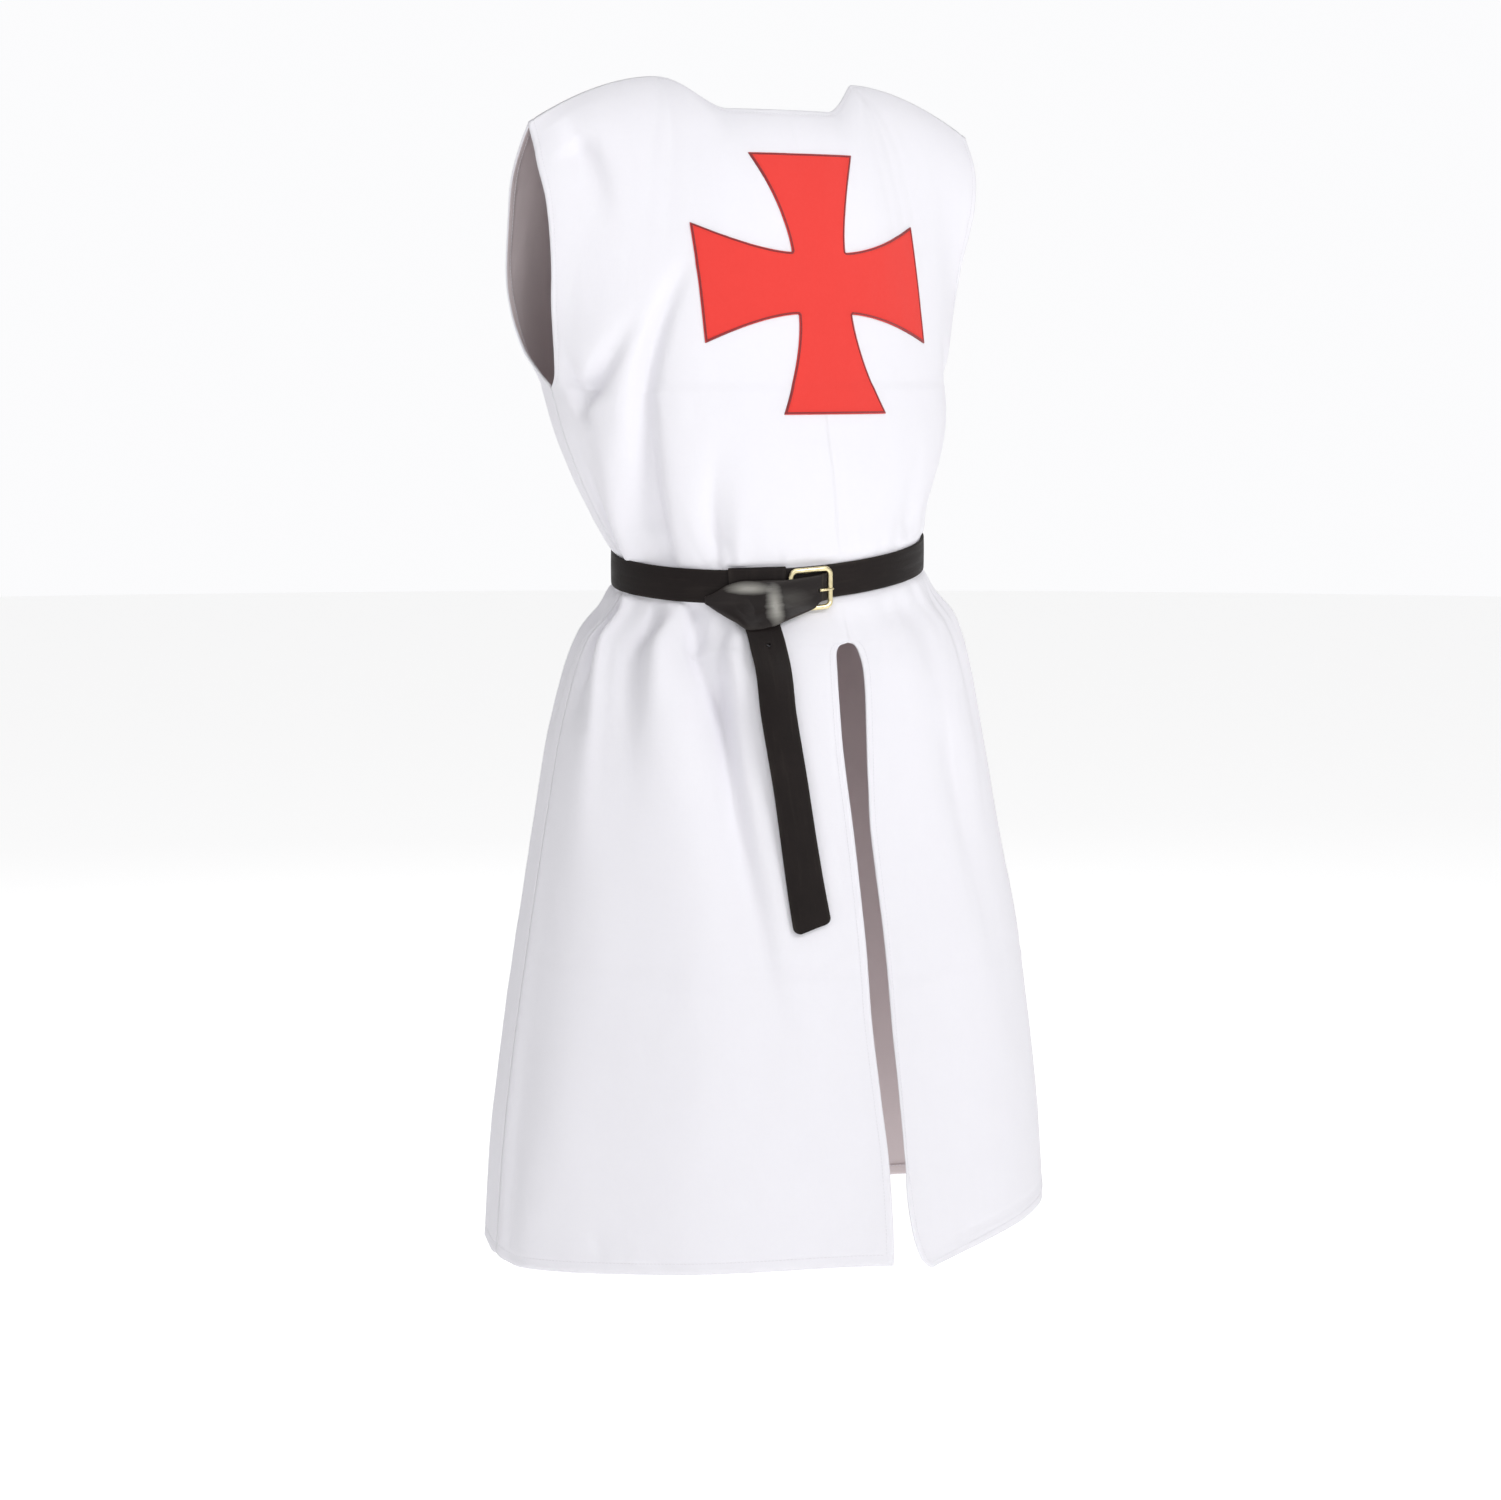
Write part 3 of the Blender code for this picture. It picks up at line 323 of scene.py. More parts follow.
def top_point(side, across):
    q = np.abs(across)
    out = np.clip((q - NECK_SHARE) / (1 - NECK_SHARE), 0.0, 1.0)
    neck = NECKLINES[side]
    u = np.clip(q / NECK_SHARE, 0.0, 1.0)
    on_seam = q >= NECK_SHARE
    x_seam = NECK_HALF_WIDTH + (SHOULDER_HALF_WIDTH - NECK_HALF_WIDTH) * out
    x = np.where(on_seam, x_seam, NECK_HALF_WIDTH * u)
    y_neck = neck.depth + (SHOULDER_Y - neck.depth) * u**neck.roundness
    z_neck = -neck.drop * (1 - smooth((u - neck.corner) / (1 - neck.corner)))
    y = np.where(on_seam, SHOULDER_Y, y_neck)
    z = np.where(on_seam, -SHOULDER_DROP * out**SHOULDER_BOW, z_neck)
    return np.stack([np.copysign(x, across), y, z], axis=-1)


def armhole_point(side, hand, share):
    y = eased(ARMHOLE, share, "front_y" if side == FRONT else "back_y")
    x = hand * eased(ARMHOLE, share, "half_width") + eased(ARMHOLE, share, "lean_x")
    return np.stack([x, y, eased(ARMHOLE, share, "height")], axis=-1)


def column_point(side, across, share):
    underarm = np.full_like(across, UNDERARM)
    low = body_point(side, across, underarm)
    high = top_point(side, across)
    length = np.linalg.norm(high - low, axis=-1)[:, None]
    rise = (low - body_point(side, across, underarm - UNDERARM_STEP)) / UNDERARM_STEP
    on_shoulder = smooth(np.abs(across) / NECK_SHARE)
    steep = NECK_STEEPNESS + (SHOULDER_STEEPNESS - NECK_STEEPNESS) * on_shoulder
    over = np.stack([0 * steep, -side * np.cos(steep), np.sin(steep)], axis=-1)
    start_slope, end_slope = rise * length * CHEST_REACH, over * length * TOP_REACH
    return hermite(low, start_slope, high, end_slope, share[:, None])


def upper_point(side, across, share):
    """The cloth above the underarm; below the neck points it rounds over what its edge turns at."""
    hand = np.where(across > 0, 1.0, -1.0)
    pull = armhole_point(side, hand, share) - column_point(side, hand, share)
    spread = np.minimum(NECK_SOFTNESS * smooth((1 - share) / NECK_SOFT_FROM), 1 - np.abs(across))
    column = sum(weight * column_point(side, across + step * spread, share)
                 for step, weight in SOFTENING)
    return column + pull * (np.abs(across) ** ARMHOLE_PULL)[:, None]


def plain_point(side, across, height):
    low = body_point(side, across, np.minimum(height, UNDERARM))
    share = np.clip((height - UNDERARM) / (TOP - UNDERARM), 0.0, 1.0)
    high = upper_point(side, across, share)
    return np.where((height <= UNDERARM)[:, None], low, high)


def unit(vectors):
    return vectors / np.linalg.norm(vectors, axis=-1, keepdims=True)


def outward(side, across, height):
    right = plain_point(side, np.maximum(across - ACROSS_STEP, -1.0), height)
    left = plain_point(side, np.minimum(across + ACROSS_STEP, 1.0), height)
    below = plain_point(side, across, height - HEIGHT_STEP)
    above = plain_point(side, across, np.minimum(height + HEIGHT_STEP, TOP))
    normal = unit(np.cross(left - right, above - below) * -side)
    seam = top_point(side, np.array([1.0]))[0] - top_point(side, np.array([NECK_SHARE]))[0]
    on_shoulder = (height >= TOP) & (np.abs(across) >= NECK_SHARE)
    shoulder = np.stack([np.copysign(-seam[2], across), 0 * across, seam[0] + 0 * across], axis=-1)
    return np.where(on_shoulder[:, None], unit(shoulder), normal)


def lengths_along(line):
    """The length from a line's start to each of its points."""
    return np.concatenate([[0], np.cumsum(np.linalg.norm(np.diff(line, axis=0), axis=-1))])


def fold_depth(side, across, height):
    """The large folds and flutes, which the solids have too."""
    reach = reach_of(side, height)
    total = np.zeros_like(across)
    for fold in FOLDS:
        if fold.side != side:
            continue
        along = (height - fold.head_height) / (fold.tail_height - fold.head_height)
        middle = fold.head_across + (fold.tail_across - fold.head_across) * along
        away = (across - middle) * reach / fold.width
        lasting = smooth(along / FOLD_HEAD) * (1 - smooth((along - FOLD_HEAD) / (1 - FOLD_HEAD)))
        total += fold.depth * lasting * bump(away)
    below = (FLUTES_FROM - height) / (FLUTES_FROM - HEM)
    for flute in FLUTES:
        if flute.side == side:
            away = (across - flute.across) * reach / flute.width
            total += flute.depth * smooth(below) * bump(away)
    return total * smooth((1 - np.abs(across)) / FLAT_AT_SEAM)


# ---------------------------------------------------------------- finer folds of the worn cloth
# A crease runs from its head to its tail, bowed sideways; one flank is steeper than the other.
Crease = namedtuple("Crease", "side head_across head tail_across tail bow head_width tail_width depth skew")
CREASES = [
    # down from the belt beside the right hip: trough, ridge, trough, ridge, trough
    Crease(FRONT, -0.970, -0.486, -0.930, -0.680, 0.00, 0.006, 0.010, -0.0080, 0.0),
    Crease(FRONT, -0.925, -0.486, -0.830, -0.780, 0.040, 0.007, 0.017, 0.0110, 0.2),
    Crease(FRONT, -0.800, -0.486, -0.730, -0.740, 0.090, 0.007, 0.016, -0.0036, -0.3),
    Crease(FRONT, -0.690, -0.486, -0.600, -0.620, 0.020, 0.008, 0.017, 0.0045, 0.0),
    Crease(FRONT, -0.620, -0.486, -0.370, -0.740, 0.100, 0.007, 0.017, -0.0110, -0.4),
    Crease(FRONT, -0.445, -0.510, -0.240, -1.000, 0.000, 0.011, 0.018, -0.0300, 0.55),
    # the edge of the skirt's right side, down to the hem
    Crease(FRONT, -0.900, -0.620, -0.710, -0.950, 0.020, 0.026, 0.040, 0.0075, 0.0),
    Crease(FRONT, -0.920, -1.180, -0.720, -0.760, -0.02, 0.034, 0.040, 0.0070, 0.0),
    # the left half of the skirt
    Crease(FRONT, 0.360, -0.600, 0.520, -0.960, -0.04, 0.008, 0.014, -0.0022, 0.5),
    Crease(FRONT, 0.200, -0.486, 0.190, -0.560, 0.00, 0.006, 0.012, -0.0016, 0.0),
    Crease(FRONT, 0.420, -0.486, 0.430, -0.580, 0.00, 0.006, 0.013, -0.0022, 0.2),
    Crease(FRONT, 0.660, -0.486, 0.690, -0.620, 0.00, 0.006, 0.014, -0.0028, -0.3),
    Crease(FRONT, 0.880, -0.486, 0.900, -0.600, 0.00, 0.006, 0.013, -0.0030, 0.2),
    # small crumples above the hem
    Crease(FRONT, -0.690, -1.132, -0.780, -1.070, 0.02, 0.005, 0.009, -0.0026, 0.3),
    Crease(FRONT, -0.610, -1.134, -0.700, -1.085, 0.02, 0.005, 0.008, 0.0022, 0.0),
    # above the belt on the right: the lit band beside the seam and the long trough to the cross
    Crease(FRONT, -0.970, -0.452, -0.900, -0.290, 0.00, 0.009, 0.015, -0.0090, 0.0),
    Crease(FRONT, -0.900, -0.452, -0.720, -0.290, 0.00, 0.011, 0.017, 0.0085, 0.0),
    Crease(FRONT, -0.720, -0.452, -0.420, -0.215, 0.00, 0.014, 0.009, -0.0110, 0.4),
    Crease(FRONT, -0.410, -0.205, -0.790, -0.460, 0.00, 0.008, 0.018, -0.0160, 0.2),
    Crease(FRONT, -0.485, -0.452, -0.350, -0.335, 0.00, 0.005, 0.008, -0.0045, 0.4),
    Crease(FRONT, -0.400, -0.452, -0.310, -0.370, 0.00, 0.006, 0.011, 0.0022, 0.0),
    Crease(FRONT, -0.240, -0.452, -0.185, -0.370, 0.00, 0.006, 0.011, -0.0018, 0.0),
    Crease(FRONT, 0.300, -0.452, 0.300, -0.380, 0.00, 0.006, 0.012, -0.0018, 0.2),
    Crease(FRONT, 0.560, -0.452, 0.530, -0.350, -0.01, 0.006, 0.014, -0.0026, 0.2),
    Crease(FRONT, 0.880, -0.452, 0.840, -0.350, -0.01, 0.006, 0.014, -0.0030, 0.2),
    # the two folds that meet under the arm, and those from the shoulder and the left arm
    Crease(FRONT, -0.840, -0.322, -0.490, -0.212, 0.00, 0.008, 0.018, -0.0110, 0.3),
    Crease(FRONT, -0.830, -0.330, -0.945, -0.225, 0.00, 0.008, 0.013, -0.0085, 0.2),
    Crease(FRONT, -0.880, -0.030, -0.690, -0.190, 0.02, 0.010, 0.020, -0.0085, 0.3),
    Crease(FRONT, 0.860, -0.309, 0.620, -0.232, 0.03, 0.006, 0.016, -0.0030, -0.4),
    # the back
    Crease(BACK, -0.90, -0.486, -0.92, -0.620, 0.00, 0.006, 0.014, -0.0034, 0.2),
    Crease(BACK, -0.62, -0.486, -0.65, -0.700, 0.02, 0.007, 0.017, -0.0045, 0.4),
    Crease(BACK, -0.50, -0.486, -0.52, -0.610, 0.00, 0.006, 0.014, 0.0034, 0.0),
    Crease(BACK, -0.11, -0.486, -0.13, -0.760, -0.02, 0.007, 0.018, -0.0048, -0.4),
    Crease(BACK, 0.01, -0.486, 0.02, -0.620, 0.00, 0.006, 0.014, 0.0034, 0.2),
    Crease(BACK, 0.39, -0.486, 0.42, -0.700, 0.02, 0.007, 0.017, -0.0044, 0.3),
    Crease(BACK, 0.90, -0.486, 0.91, -0.640, 0.00, 0.006, 0.014, -0.0034, 0.2),
    Crease(BACK, -0.72, -0.452, -0.68, -0.330, 0.02, 0.006, 0.015, -0.0036, 0.3),
    Crease(BACK, -0.40, -0.452, -0.36, -0.270, 0.02, 0.006, 0.017, -0.0040, 0.4),
    Crease(BACK, -0.02, -0.452, -0.02, -0.360, 0.00, 0.006, 0.014, -0.0030, 0.0),
    Crease(BACK, 0.27, -0.452, 0.22, -0.300, -0.02, 0.006, 0.016, -0.0038, -0.3),
    Crease(BACK, 0.60, -0.452, 0.56, -0.300, -0.02, 0.006, 0.016, -0.0036, 0.3),
]
# Share of a crease's length over which it deepens: short where the belt holds it, long elsewhere
HELD_START, FREE_START = 0.05, 0.35
GATHERS_SEED = 41
GATHERS = {FRONT: (18, 12), BACK: (22, 16)}
GATHERS_REACH, QUIET_FROM, QUIET_SHARE = 0.97, -0.1, 0.55
BELT_EDGES = (BELT - BELT_WIDTH / 2 - 0.001, BELT + BELT_WIDTH / 2 + 0.001)


def gathers(side):
    """Small pinched pleats that start at the belt's two edges, evenly uneven."""
    rng = np.random.default_rng(GATHERS_SEED + side)
    creases = []
    for count, edge, down in zip(GATHERS[side], BELT_EDGES, (-1, 1)):
        for k in range(count):
            across = -GATHERS_REACH + 2 * GATHERS_REACH * (k + rng.uniform(0.15, 0.85)) / count
            length = rng.uniform(0.035, 0.085)
            width = rng.uniform(0.0035, 0.0055)
            depth = rng.uniform(0.0009, 0.0020) * rng.choice((-1, 1))
            quiet = QUIET_SHARE if side == FRONT and across > QUIET_FROM else 1.0
            creases.append(Crease(
                side, across, edge, across * rng.uniform(0.97, 1.05), edge + down * length,
                rng.uniform(-0.02, 0.02), width, width * rng.uniform(1.8, 2.6),
                depth * quiet, rng.uniform(-0.4, 0.4),
            ))
    return creases


def lattice_noise(x, y, seed):
    """Smooth noise of about -1 to 1 with one lump per unit."""
    size = 64
    values = np.random.default_rng(seed).uniform(-1, 1, (size, size))
    column, row = np.floor(x).astype(int), np.floor(y).astype(int)
    u, v = x - column, y - row
    u, v = u * u * (3 - 2 * u), v * v * (3 - 2 * v)
    a, b = values[row % size, column % size], values[row % size, (column + 1) % size]
    c, d = values[(row + 1) % size, column % size], values[(row + 1) % size, (column + 1) % size]
    return a * (1 - u) * (1 - v) + b * u * (1 - v) + c * (1 - u) * v + d * u * v


def crease_depth(side, across, height, creases):
    reach = reach_of(side, height)
    total = np.zeros_like(across)
    for crease in creases:
        if crease.side != side:
            continue
        t = (height - crease.head) / (crease.tail - crease.head)
        inside = (t > -HELD_START) & (t < 1)
        if not inside.any():
            continue
        ti = t[inside]
        middle = crease.head_across + (crease.tail_across - crease.head_across) * ti
        middle = middle + crease.bow * 4 * ti * (1 - ti)
        width = crease.head_width + (crease.tail_width - crease.head_width) * np.clip(ti, 0, 1)
        away = (across[inside] - middle) * reach[inside] / width
        away = away * (1 + crease.skew * np.tanh(away))
        start = HELD_START if abs(crease.head - BELT) < BELT_WIDTH else FREE_START
        lasting = smooth(ti / start + 0.3) * (1 - smooth(ti)) ** 1.2
        total[inside] += crease.depth * lasting * bump(away)
    return total


def unevenness(side, u, v):
    """Soft, low undulation of hanging cloth, drawn out down its length."""
    seed = 10 + side
    broad = 0.0011 * lattice_noise(u / 0.075, v / 0.24, seed)
    middle = 0.0006 * lattice_noise(u / 0.032, v / 0.095, seed + 20)
    small = 0.00022 * lattice_noise(u / 0.012, v / 0.030, seed + 40)
    return broad + middle + small


# ---------------------------------------------------------------- building the panels
COLUMNS = 184
SEAM_SINK, SEAM_SINK_WIDTH, SEWN_GAP, CREASE_FREE_SEAM = 0.0001, 0.0035, 0.00002, 0.010
TURN_WIDTH, TURN_THICK = 0.0075, 0.0009
STITCH_INSET, STITCH_GROOVE, GROOVE_WIDTH = 0.0012, 0.00045, 0.0012
BELT_PUFF, BELT_PUFF_AT, BELT_PUFF_WIDTH = 0.0030, 0.010, 0.012
RIM_ROUND = 0.36
STRAP_MARGIN = 0.012
# A pressed line across the skirt, left by folding
PRESS_HEIGHT, PRESS_SLOPE, PRESS_WIDTH = -0.866, -0.016, 0.0035
PRESS_DEPTH = {FRONT: 0.0007, BACK: 0.0003}
# The front's hem, left of the middle, is turned up a little tight: a groove above it
TIGHT_HEIGHT, TIGHT_WIDTH, TIGHT_DEPTH = -1.1230, 0.0040, 0.0012


def banded(bands, start):
    heights = [start]
    for top, step in bands:
        count = max(1, round((top - heights[-1]) / step))
        heights += list(np.linspace(heights[-1], top, count + 1)[1:])
    return np.array(heights)


def row_heights():
    rows = [
        (HEM + HEM_TURN - 0.0012, 0.0030), (HEM + HEM_TURN + 0.0012, 0.0008),
        (HEM + 0.030, 0.0040), (-0.700, 0.0062), (-0.560, 0.0048), (-0.540, 0.0030),
        (SLIT_TOP, 0.0012), (BELT - BELT_WIDTH / 2, 0.0030), (BELT + BELT_WIDTH / 2, 0.0080),
        (BELT + 0.060, 0.0032), (UNDERARM, 0.0046), (-0.040, 0.0046), (TOP, 0.0030),
    ]
    return banded(rows, HEM)


def half_places(hand):
    """Places across one half, from the middle to the side, one of them on the neck point."""
    places = np.linspace(0.0, 1.0, COLUMNS // 2 + 1)
    places[np.argmin(np.abs(places - NECK_SHARE))] = NECK_SHARE
    return hand * places


def half_across(side, hand, heights):
    """The place of each grid point: columns spread from the slit's edge where there is a slit."""
    grid = np.repeat(half_places(hand)[None, :], len(heights), axis=0)
    if side == BACK:
        return grid
    *_, inner, _ = half_ring(FRONT, heights)
    edge = eased(SLIT, heights, "left_edge" if hand > 0 else "right_edge") * 0.5 / inner
    edge = np.where(heights < SLIT_TOP - TINY, edge, 0.0)[:, None]
    return hand * (edge + (1 - edge) * np.abs(grid))


def along_lengths(points, axis, from_end=False):
    steps = np.linalg.norm(np.diff(points, axis=axis), axis=-1)
    if from_end:
        steps = np.flip(steps, axis=axis)
    total = np.cumsum(steps, axis=axis)
    total = np.concatenate([np.zeros_like(np.take(total, [0], axis=axis)), total], axis=axis)
    return np.flip(total, axis=axis) if from_end else total


def turned(distance, width):
    """1 inside a turned edge of this width, 0 beyond it, with a short slope between."""
    return 1 - smooth((distance - width + 0.0008) / 0.0016)


def under_straps(x, height):
    """1 where the knot or the belt's hanging end presses the cloth, fading to 0 beside them."""
    rel = height - BELT
    beside = np.abs(x - eased(TAIL, rel, "middle")) - eased(TAIL, rel, "width") / 2
    tail = smooth(1 - beside / STRAP_MARGIN) * (rel < 0) * smooth((rel - TAIL[0].height) / 0.012 + 1)
    knot_x, knot_half = (KNOT_RIGHT + KNOT_LEFT) / 2, (KNOT_LEFT - KNOT_RIGHT) / 2
    knot = smooth(1 - (np.abs(x - knot_x) - knot_half) / STRAP_MARGIN) * smooth((rel - KNOT_LOW) / 0.01 + 1)
    return np.maximum(tail, knot * (rel < KNOT_HIGH))


def edge_distances(side, grid, across, heights):
    """Lengths from each point to the panel's edges; an edge that isn't met there is far away."""
    far = np.full(across.shape, 1.0)
    from_side, from_top = along_lengths(grid, 1, from_end=True), along_lengths(grid, 0, from_end=True)
    free_side = (heights > UNDERARM + 0.004)[:, None]
    on_neck = (np.abs(across[-1]) <= NECK_SHARE)[None, :]
    in_slit = (heights < SLIT_TOP)[:, None] & (side == FRONT)
    return {
        "hem": along_lengths(grid, 0),
        "neck": np.where(on_neck, from_top, far),
        "armhole": np.where(free_side, from_side, far),
        "seam": np.where(free_side, far, from_side),
        "shoulder": np.where(on_neck, far, from_top),
        "slit": np.where(in_slit, along_lengths(grid, 1), far),
    }


Half = namedtuple("Half", "outer inner flat distances normal")
TURNS = {"hem": HEM_TURN, "neck": TURN_WIDTH, "armhole": TURN_WIDTH, "slit": TURN_WIDTH}


def dressed_half(side, hand, heights):
    """Outer and inner points of half a panel with all its folds, its flat coordinates and edges."""
    across = half_across(side, hand, heights)
    shape = across.shape
    a = across.ravel()
    h = np.repeat(heights[:, None], shape[1], axis=1).ravel()
    normal = outward(side, a, h).reshape(*shape, 3)
    grid = plain_point(side, a, h).reshape(*shape, 3)
    d = edge_distances(side, grid, across, heights)
    u = hand * along_lengths(grid, 1) + across[:, :1] * reach_of(side, heights)[:, None]
    v = d["hem"]
    fine = crease_depth(side, a, h, CREASES + gathers(side)).reshape(shape)
    from_seam = np.minimum(d["seam"], d["shoulder"])
    fine *= smooth(from_seam / CREASE_FREE_SEAM)
    quiet = smooth(from_seam / 0.02) * smooth(d["neck"] / 0.02)
    behind_belt = smooth((np.abs(heights - BELT) - BELT_WIDTH / 2 + 0.002) / 0.006)[:, None]
    fine = fine + unevenness(side, u, v) * quiet * behind_belt
    for edge in BELT_EDGES:
        away = (heights - edge) * np.sign(edge - BELT)
        puff = BELT_PUFF * bump((away - BELT_PUFF_AT) / BELT_PUFF_WIDTH) * smooth(away / 0.004)
        fine += puff[:, None]
    if side == FRONT:
        cover = under_straps(grid[..., 0], heights[:, None])
        fine = fine * (1 - cover) + np.minimum(fine, 0.0) * cover
    lift = fold_depth(side, a, h).reshape(shape) + fine
    press = (h - PRESS_HEIGHT - PRESS_SLOPE * a).reshape(shape) / PRESS_WIDTH
    lift += PRESS_DEPTH[side] * (bump(press) - bump((press - 2) / 1.5) * 0.6) * quiet
    if side == FRONT:
        tight = bump((h - TIGHT_HEIGHT) / TIGHT_WIDTH) * smooth((a - 0.12) / 0.15) * smooth((1 - a) / 0.25)
        lift -= TIGHT_DEPTH * tight.reshape(shape)
    lift -= SEAM_SINK * bump(d["seam"] / SEAM_SINK_WIDTH)
    lift -= SEAM_SINK * 0.6 * bump(d["shoulder"] / SEAM_SINK_WIDTH)
    thick = np.full(shape, CLOTH)
    for name, width in TURNS.items():
        lift -= STITCH_GROOVE * bump((d[name] - width + STITCH_INSET) / GROOVE_WIDTH)
        more = HEM_CLOTH - CLOTH if name == "hem" else TURN_THICK
        thick += more * turned(d[name], width)
    outer = grid + normal * lift[..., None]
    on_seam = (d["seam"] == 0) | (d["shoulder"] == 0)
    outer[..., 1] += np.where(on_seam, side * SEWN_GAP / 2, 0.0)
    inner = outer - normal * thick[..., None]
    return Half(outer, inner, np.stack([u, v], axis=-1), d, normal)


def boundary_edges(quads):
    """Directed edges that only one face uses."""
    edges = np.concatenate([quads[:, [k, (k + 1) % 4]] for k in range(4)])
    forward = edges[:, 0].astype(np.int64) * 10**7 + edges[:, 1]
    backward = edges[:, 1].astype(np.int64) * 10**7 + edges[:, 0]
    return edges[~np.isin(forward, backward)]


def mesh_object(name, points, faces, uv=None, closed=False):
    """A smooth-shaded mesh object; a closed one gets its faces turned outward."""
    data = bpy.data.meshes.new(name)
    data.from_pydata(np.asarray(points).tolist(), [], faces)
    if uv is not None:
        layer = data.uv_layers.new(name="weave")
        corners = np.empty(len(data.loops), dtype=np.int32)
        data.loops.foreach_get("vertex_index", corners)
        layer.data.foreach_set("uv", np.asarray(uv, dtype=np.float32)[corners].ravel())
    if closed:
        mesh = bmesh.new()
        mesh.from_mesh(data)
        bmesh.ops.recalc_face_normals(mesh, faces=mesh.faces)
        mesh.to_mesh(data)
        mesh.free()
    data.shade_smooth()
    data.validate()
    data.update()
    obj = bpy.data.objects.new(name, data)
    bpy.context.scene.collection.objects.link(obj)
    return obj


def quad_area(points, quads):
    p = points[quads]
    return 0.5 * np.linalg.norm(np.cross(p[:, 2] - p[:, 0], p[:, 3] - p[:, 1]), axis=-1).sum()


def walled(name, outer, inner, normal, flat, quads, held=None):
    """A sheet with two faces and a rounded rim; held points get a flat rim. Material 1 is inside."""
    edges = boundary_edges(quads)
    total = len(outer)
    step = unit(outer[edges[:, 1]] - outer[edges[:, 0]])
    away = np.cross(step, normal[edges[:, 0]])
    turn = np.zeros_like(outer)
    np.add.at(turn, edges[:, 0], away)
    np.add.at(turn, edges[:, 1], away)
    rim_of = np.unique(edges)
    place = np.full(total, -1)
    place[rim_of] = np.arange(len(rim_of))
    thick = np.linalg.norm(outer[rim_of] - inner[rim_of], axis=-1)[:, None]
    push = RIM_ROUND if held is None else np.where(held[rim_of], 0.0, RIM_ROUND)[:, None]
    rim = (outer[rim_of] + inner[rim_of]) / 2 + unit(turn[rim_of]) * thick * push
    a, b = edges[:, 0], edges[:, 1]
    rim_a, rim_b = place[a] + 2 * total, place[b] + 2 * total
    faces = np.concatenate([
        quads, quads[:, ::-1] + total,
        np.stack([b, a, rim_a, rim_b], axis=-1),
        np.stack([rim_b, rim_a, a + total, b + total], axis=-1),
    ])
    points = np.concatenate([outer, inner, rim])
    used = np.unique(faces)
    new = np.full(len(points), -1)
    new[used] = np.arange(len(used))
    obj = mesh_object(name, points[used], new[faces].tolist(),
                      np.concatenate([flat, flat, flat[rim_of]])[used])
    slots = np.zeros(len(faces), dtype=np.int32)
    slots[len(quads):2 * len(quads)] = 1
    obj.data.polygons.foreach_set("material_index", slots)
    return obj


def build_panel(name, side):
    """The panel's object, its cloth's area and its two halves."""
    heights = row_heights()
    halves = {hand: dressed_half(side, hand, heights) for hand in (-1, 1)}
    rows, columns = halves[1].outer.shape[:2]
    index = {-1: np.arange(rows * columns).reshape(rows, columns)}
    index[1] = index[-1] + rows * columns
    joined = heights >= SLIT_TOP - TINY if side == FRONT else np.full(rows, True)
    index[1][joined, 0] = index[-1][joined, 0]
    quads = []
    for hand, grid in index.items():
        corners = [grid[:-1, :-1], grid[:-1, 1:], grid[1:, 1:], grid[1:, :-1]]
        cells = np.stack(corners, axis=-1).reshape(-1, 4)
        quads.append(cells if hand * side == -1 else cells[:, ::-1])
    quads = np.concatenate(quads)

    def both(values, width):
        return np.concatenate([values(halves[hand]).reshape(-1, width) for hand in (-1, 1)])

    outer = both(lambda half: half.outer, 3)
    held = both(lambda half: np.minimum(half.distances["seam"], half.distances["shoulder"]), 1)
    obj = walled(name, outer, both(lambda half: half.inner, 3), both(lambda half: half.normal, 3),
                 both(lambda half: half.flat, 2), quads, held[:, 0] == 0)
    return obj, quad_area(outer, quads), halves


# ---------------------------------------------------------------- stitching along the turned edges
STITCH_PITCH, STITCH_LENGTH, STITCH_RADIUS = 0.0036, 0.0027, 0.00028
STITCH_SIDES = 6
# Places and widths of a stitch's rings along its length
STITCH_RINGS = ((-0.5, 0.35), (-0.36, 0.9), (0.0, 1.0), (0.36, 0.9), (0.5, 0.35))


def level_line(values, distance, level, axis):
    """Where each line of a grid first reaches this distance from an edge, with a mask of those that do."""
    values = np.moveaxis(values, axis, 0)
    distance = np.moveaxis(distance, axis, 0)
    crossed = (distance[:-1] - level) * (distance[1:] - level) <= 0
    crossed &= (distance[:-1] < 0.5) & (distance[1:] < 0.5)
    found = crossed.any(axis=0)
    k = crossed.argmax(axis=0)
    lines = np.arange(distance.shape[1])
    low, high = distance[k, lines], distance[k + 1, lines]
    t = np.where(high == low, 0.0, (level - low) / np.where(high == low, 1.0, high - low))
    return values[k, lines] * (1 - t)[:, None] + values[k + 1, lines] * t[:, None], found


def spaced(line, normal, pitch):
    """Points at even lengths along a line, with their normals and directions."""
    length = lengths_along(line)
    count = int(length[-1] / pitch)
    at = (np.arange(count) + 0.5) * length[-1] / max(count, 1)

    def read(values, where):
        return np.stack([np.interp(where, length, values[:, k]) for k in range(3)], axis=-1)

    along = unit(read(line, at + pitch / 4) - read(line, at - pitch / 4))
    return read(line, at), unit(read(normal, at)), along


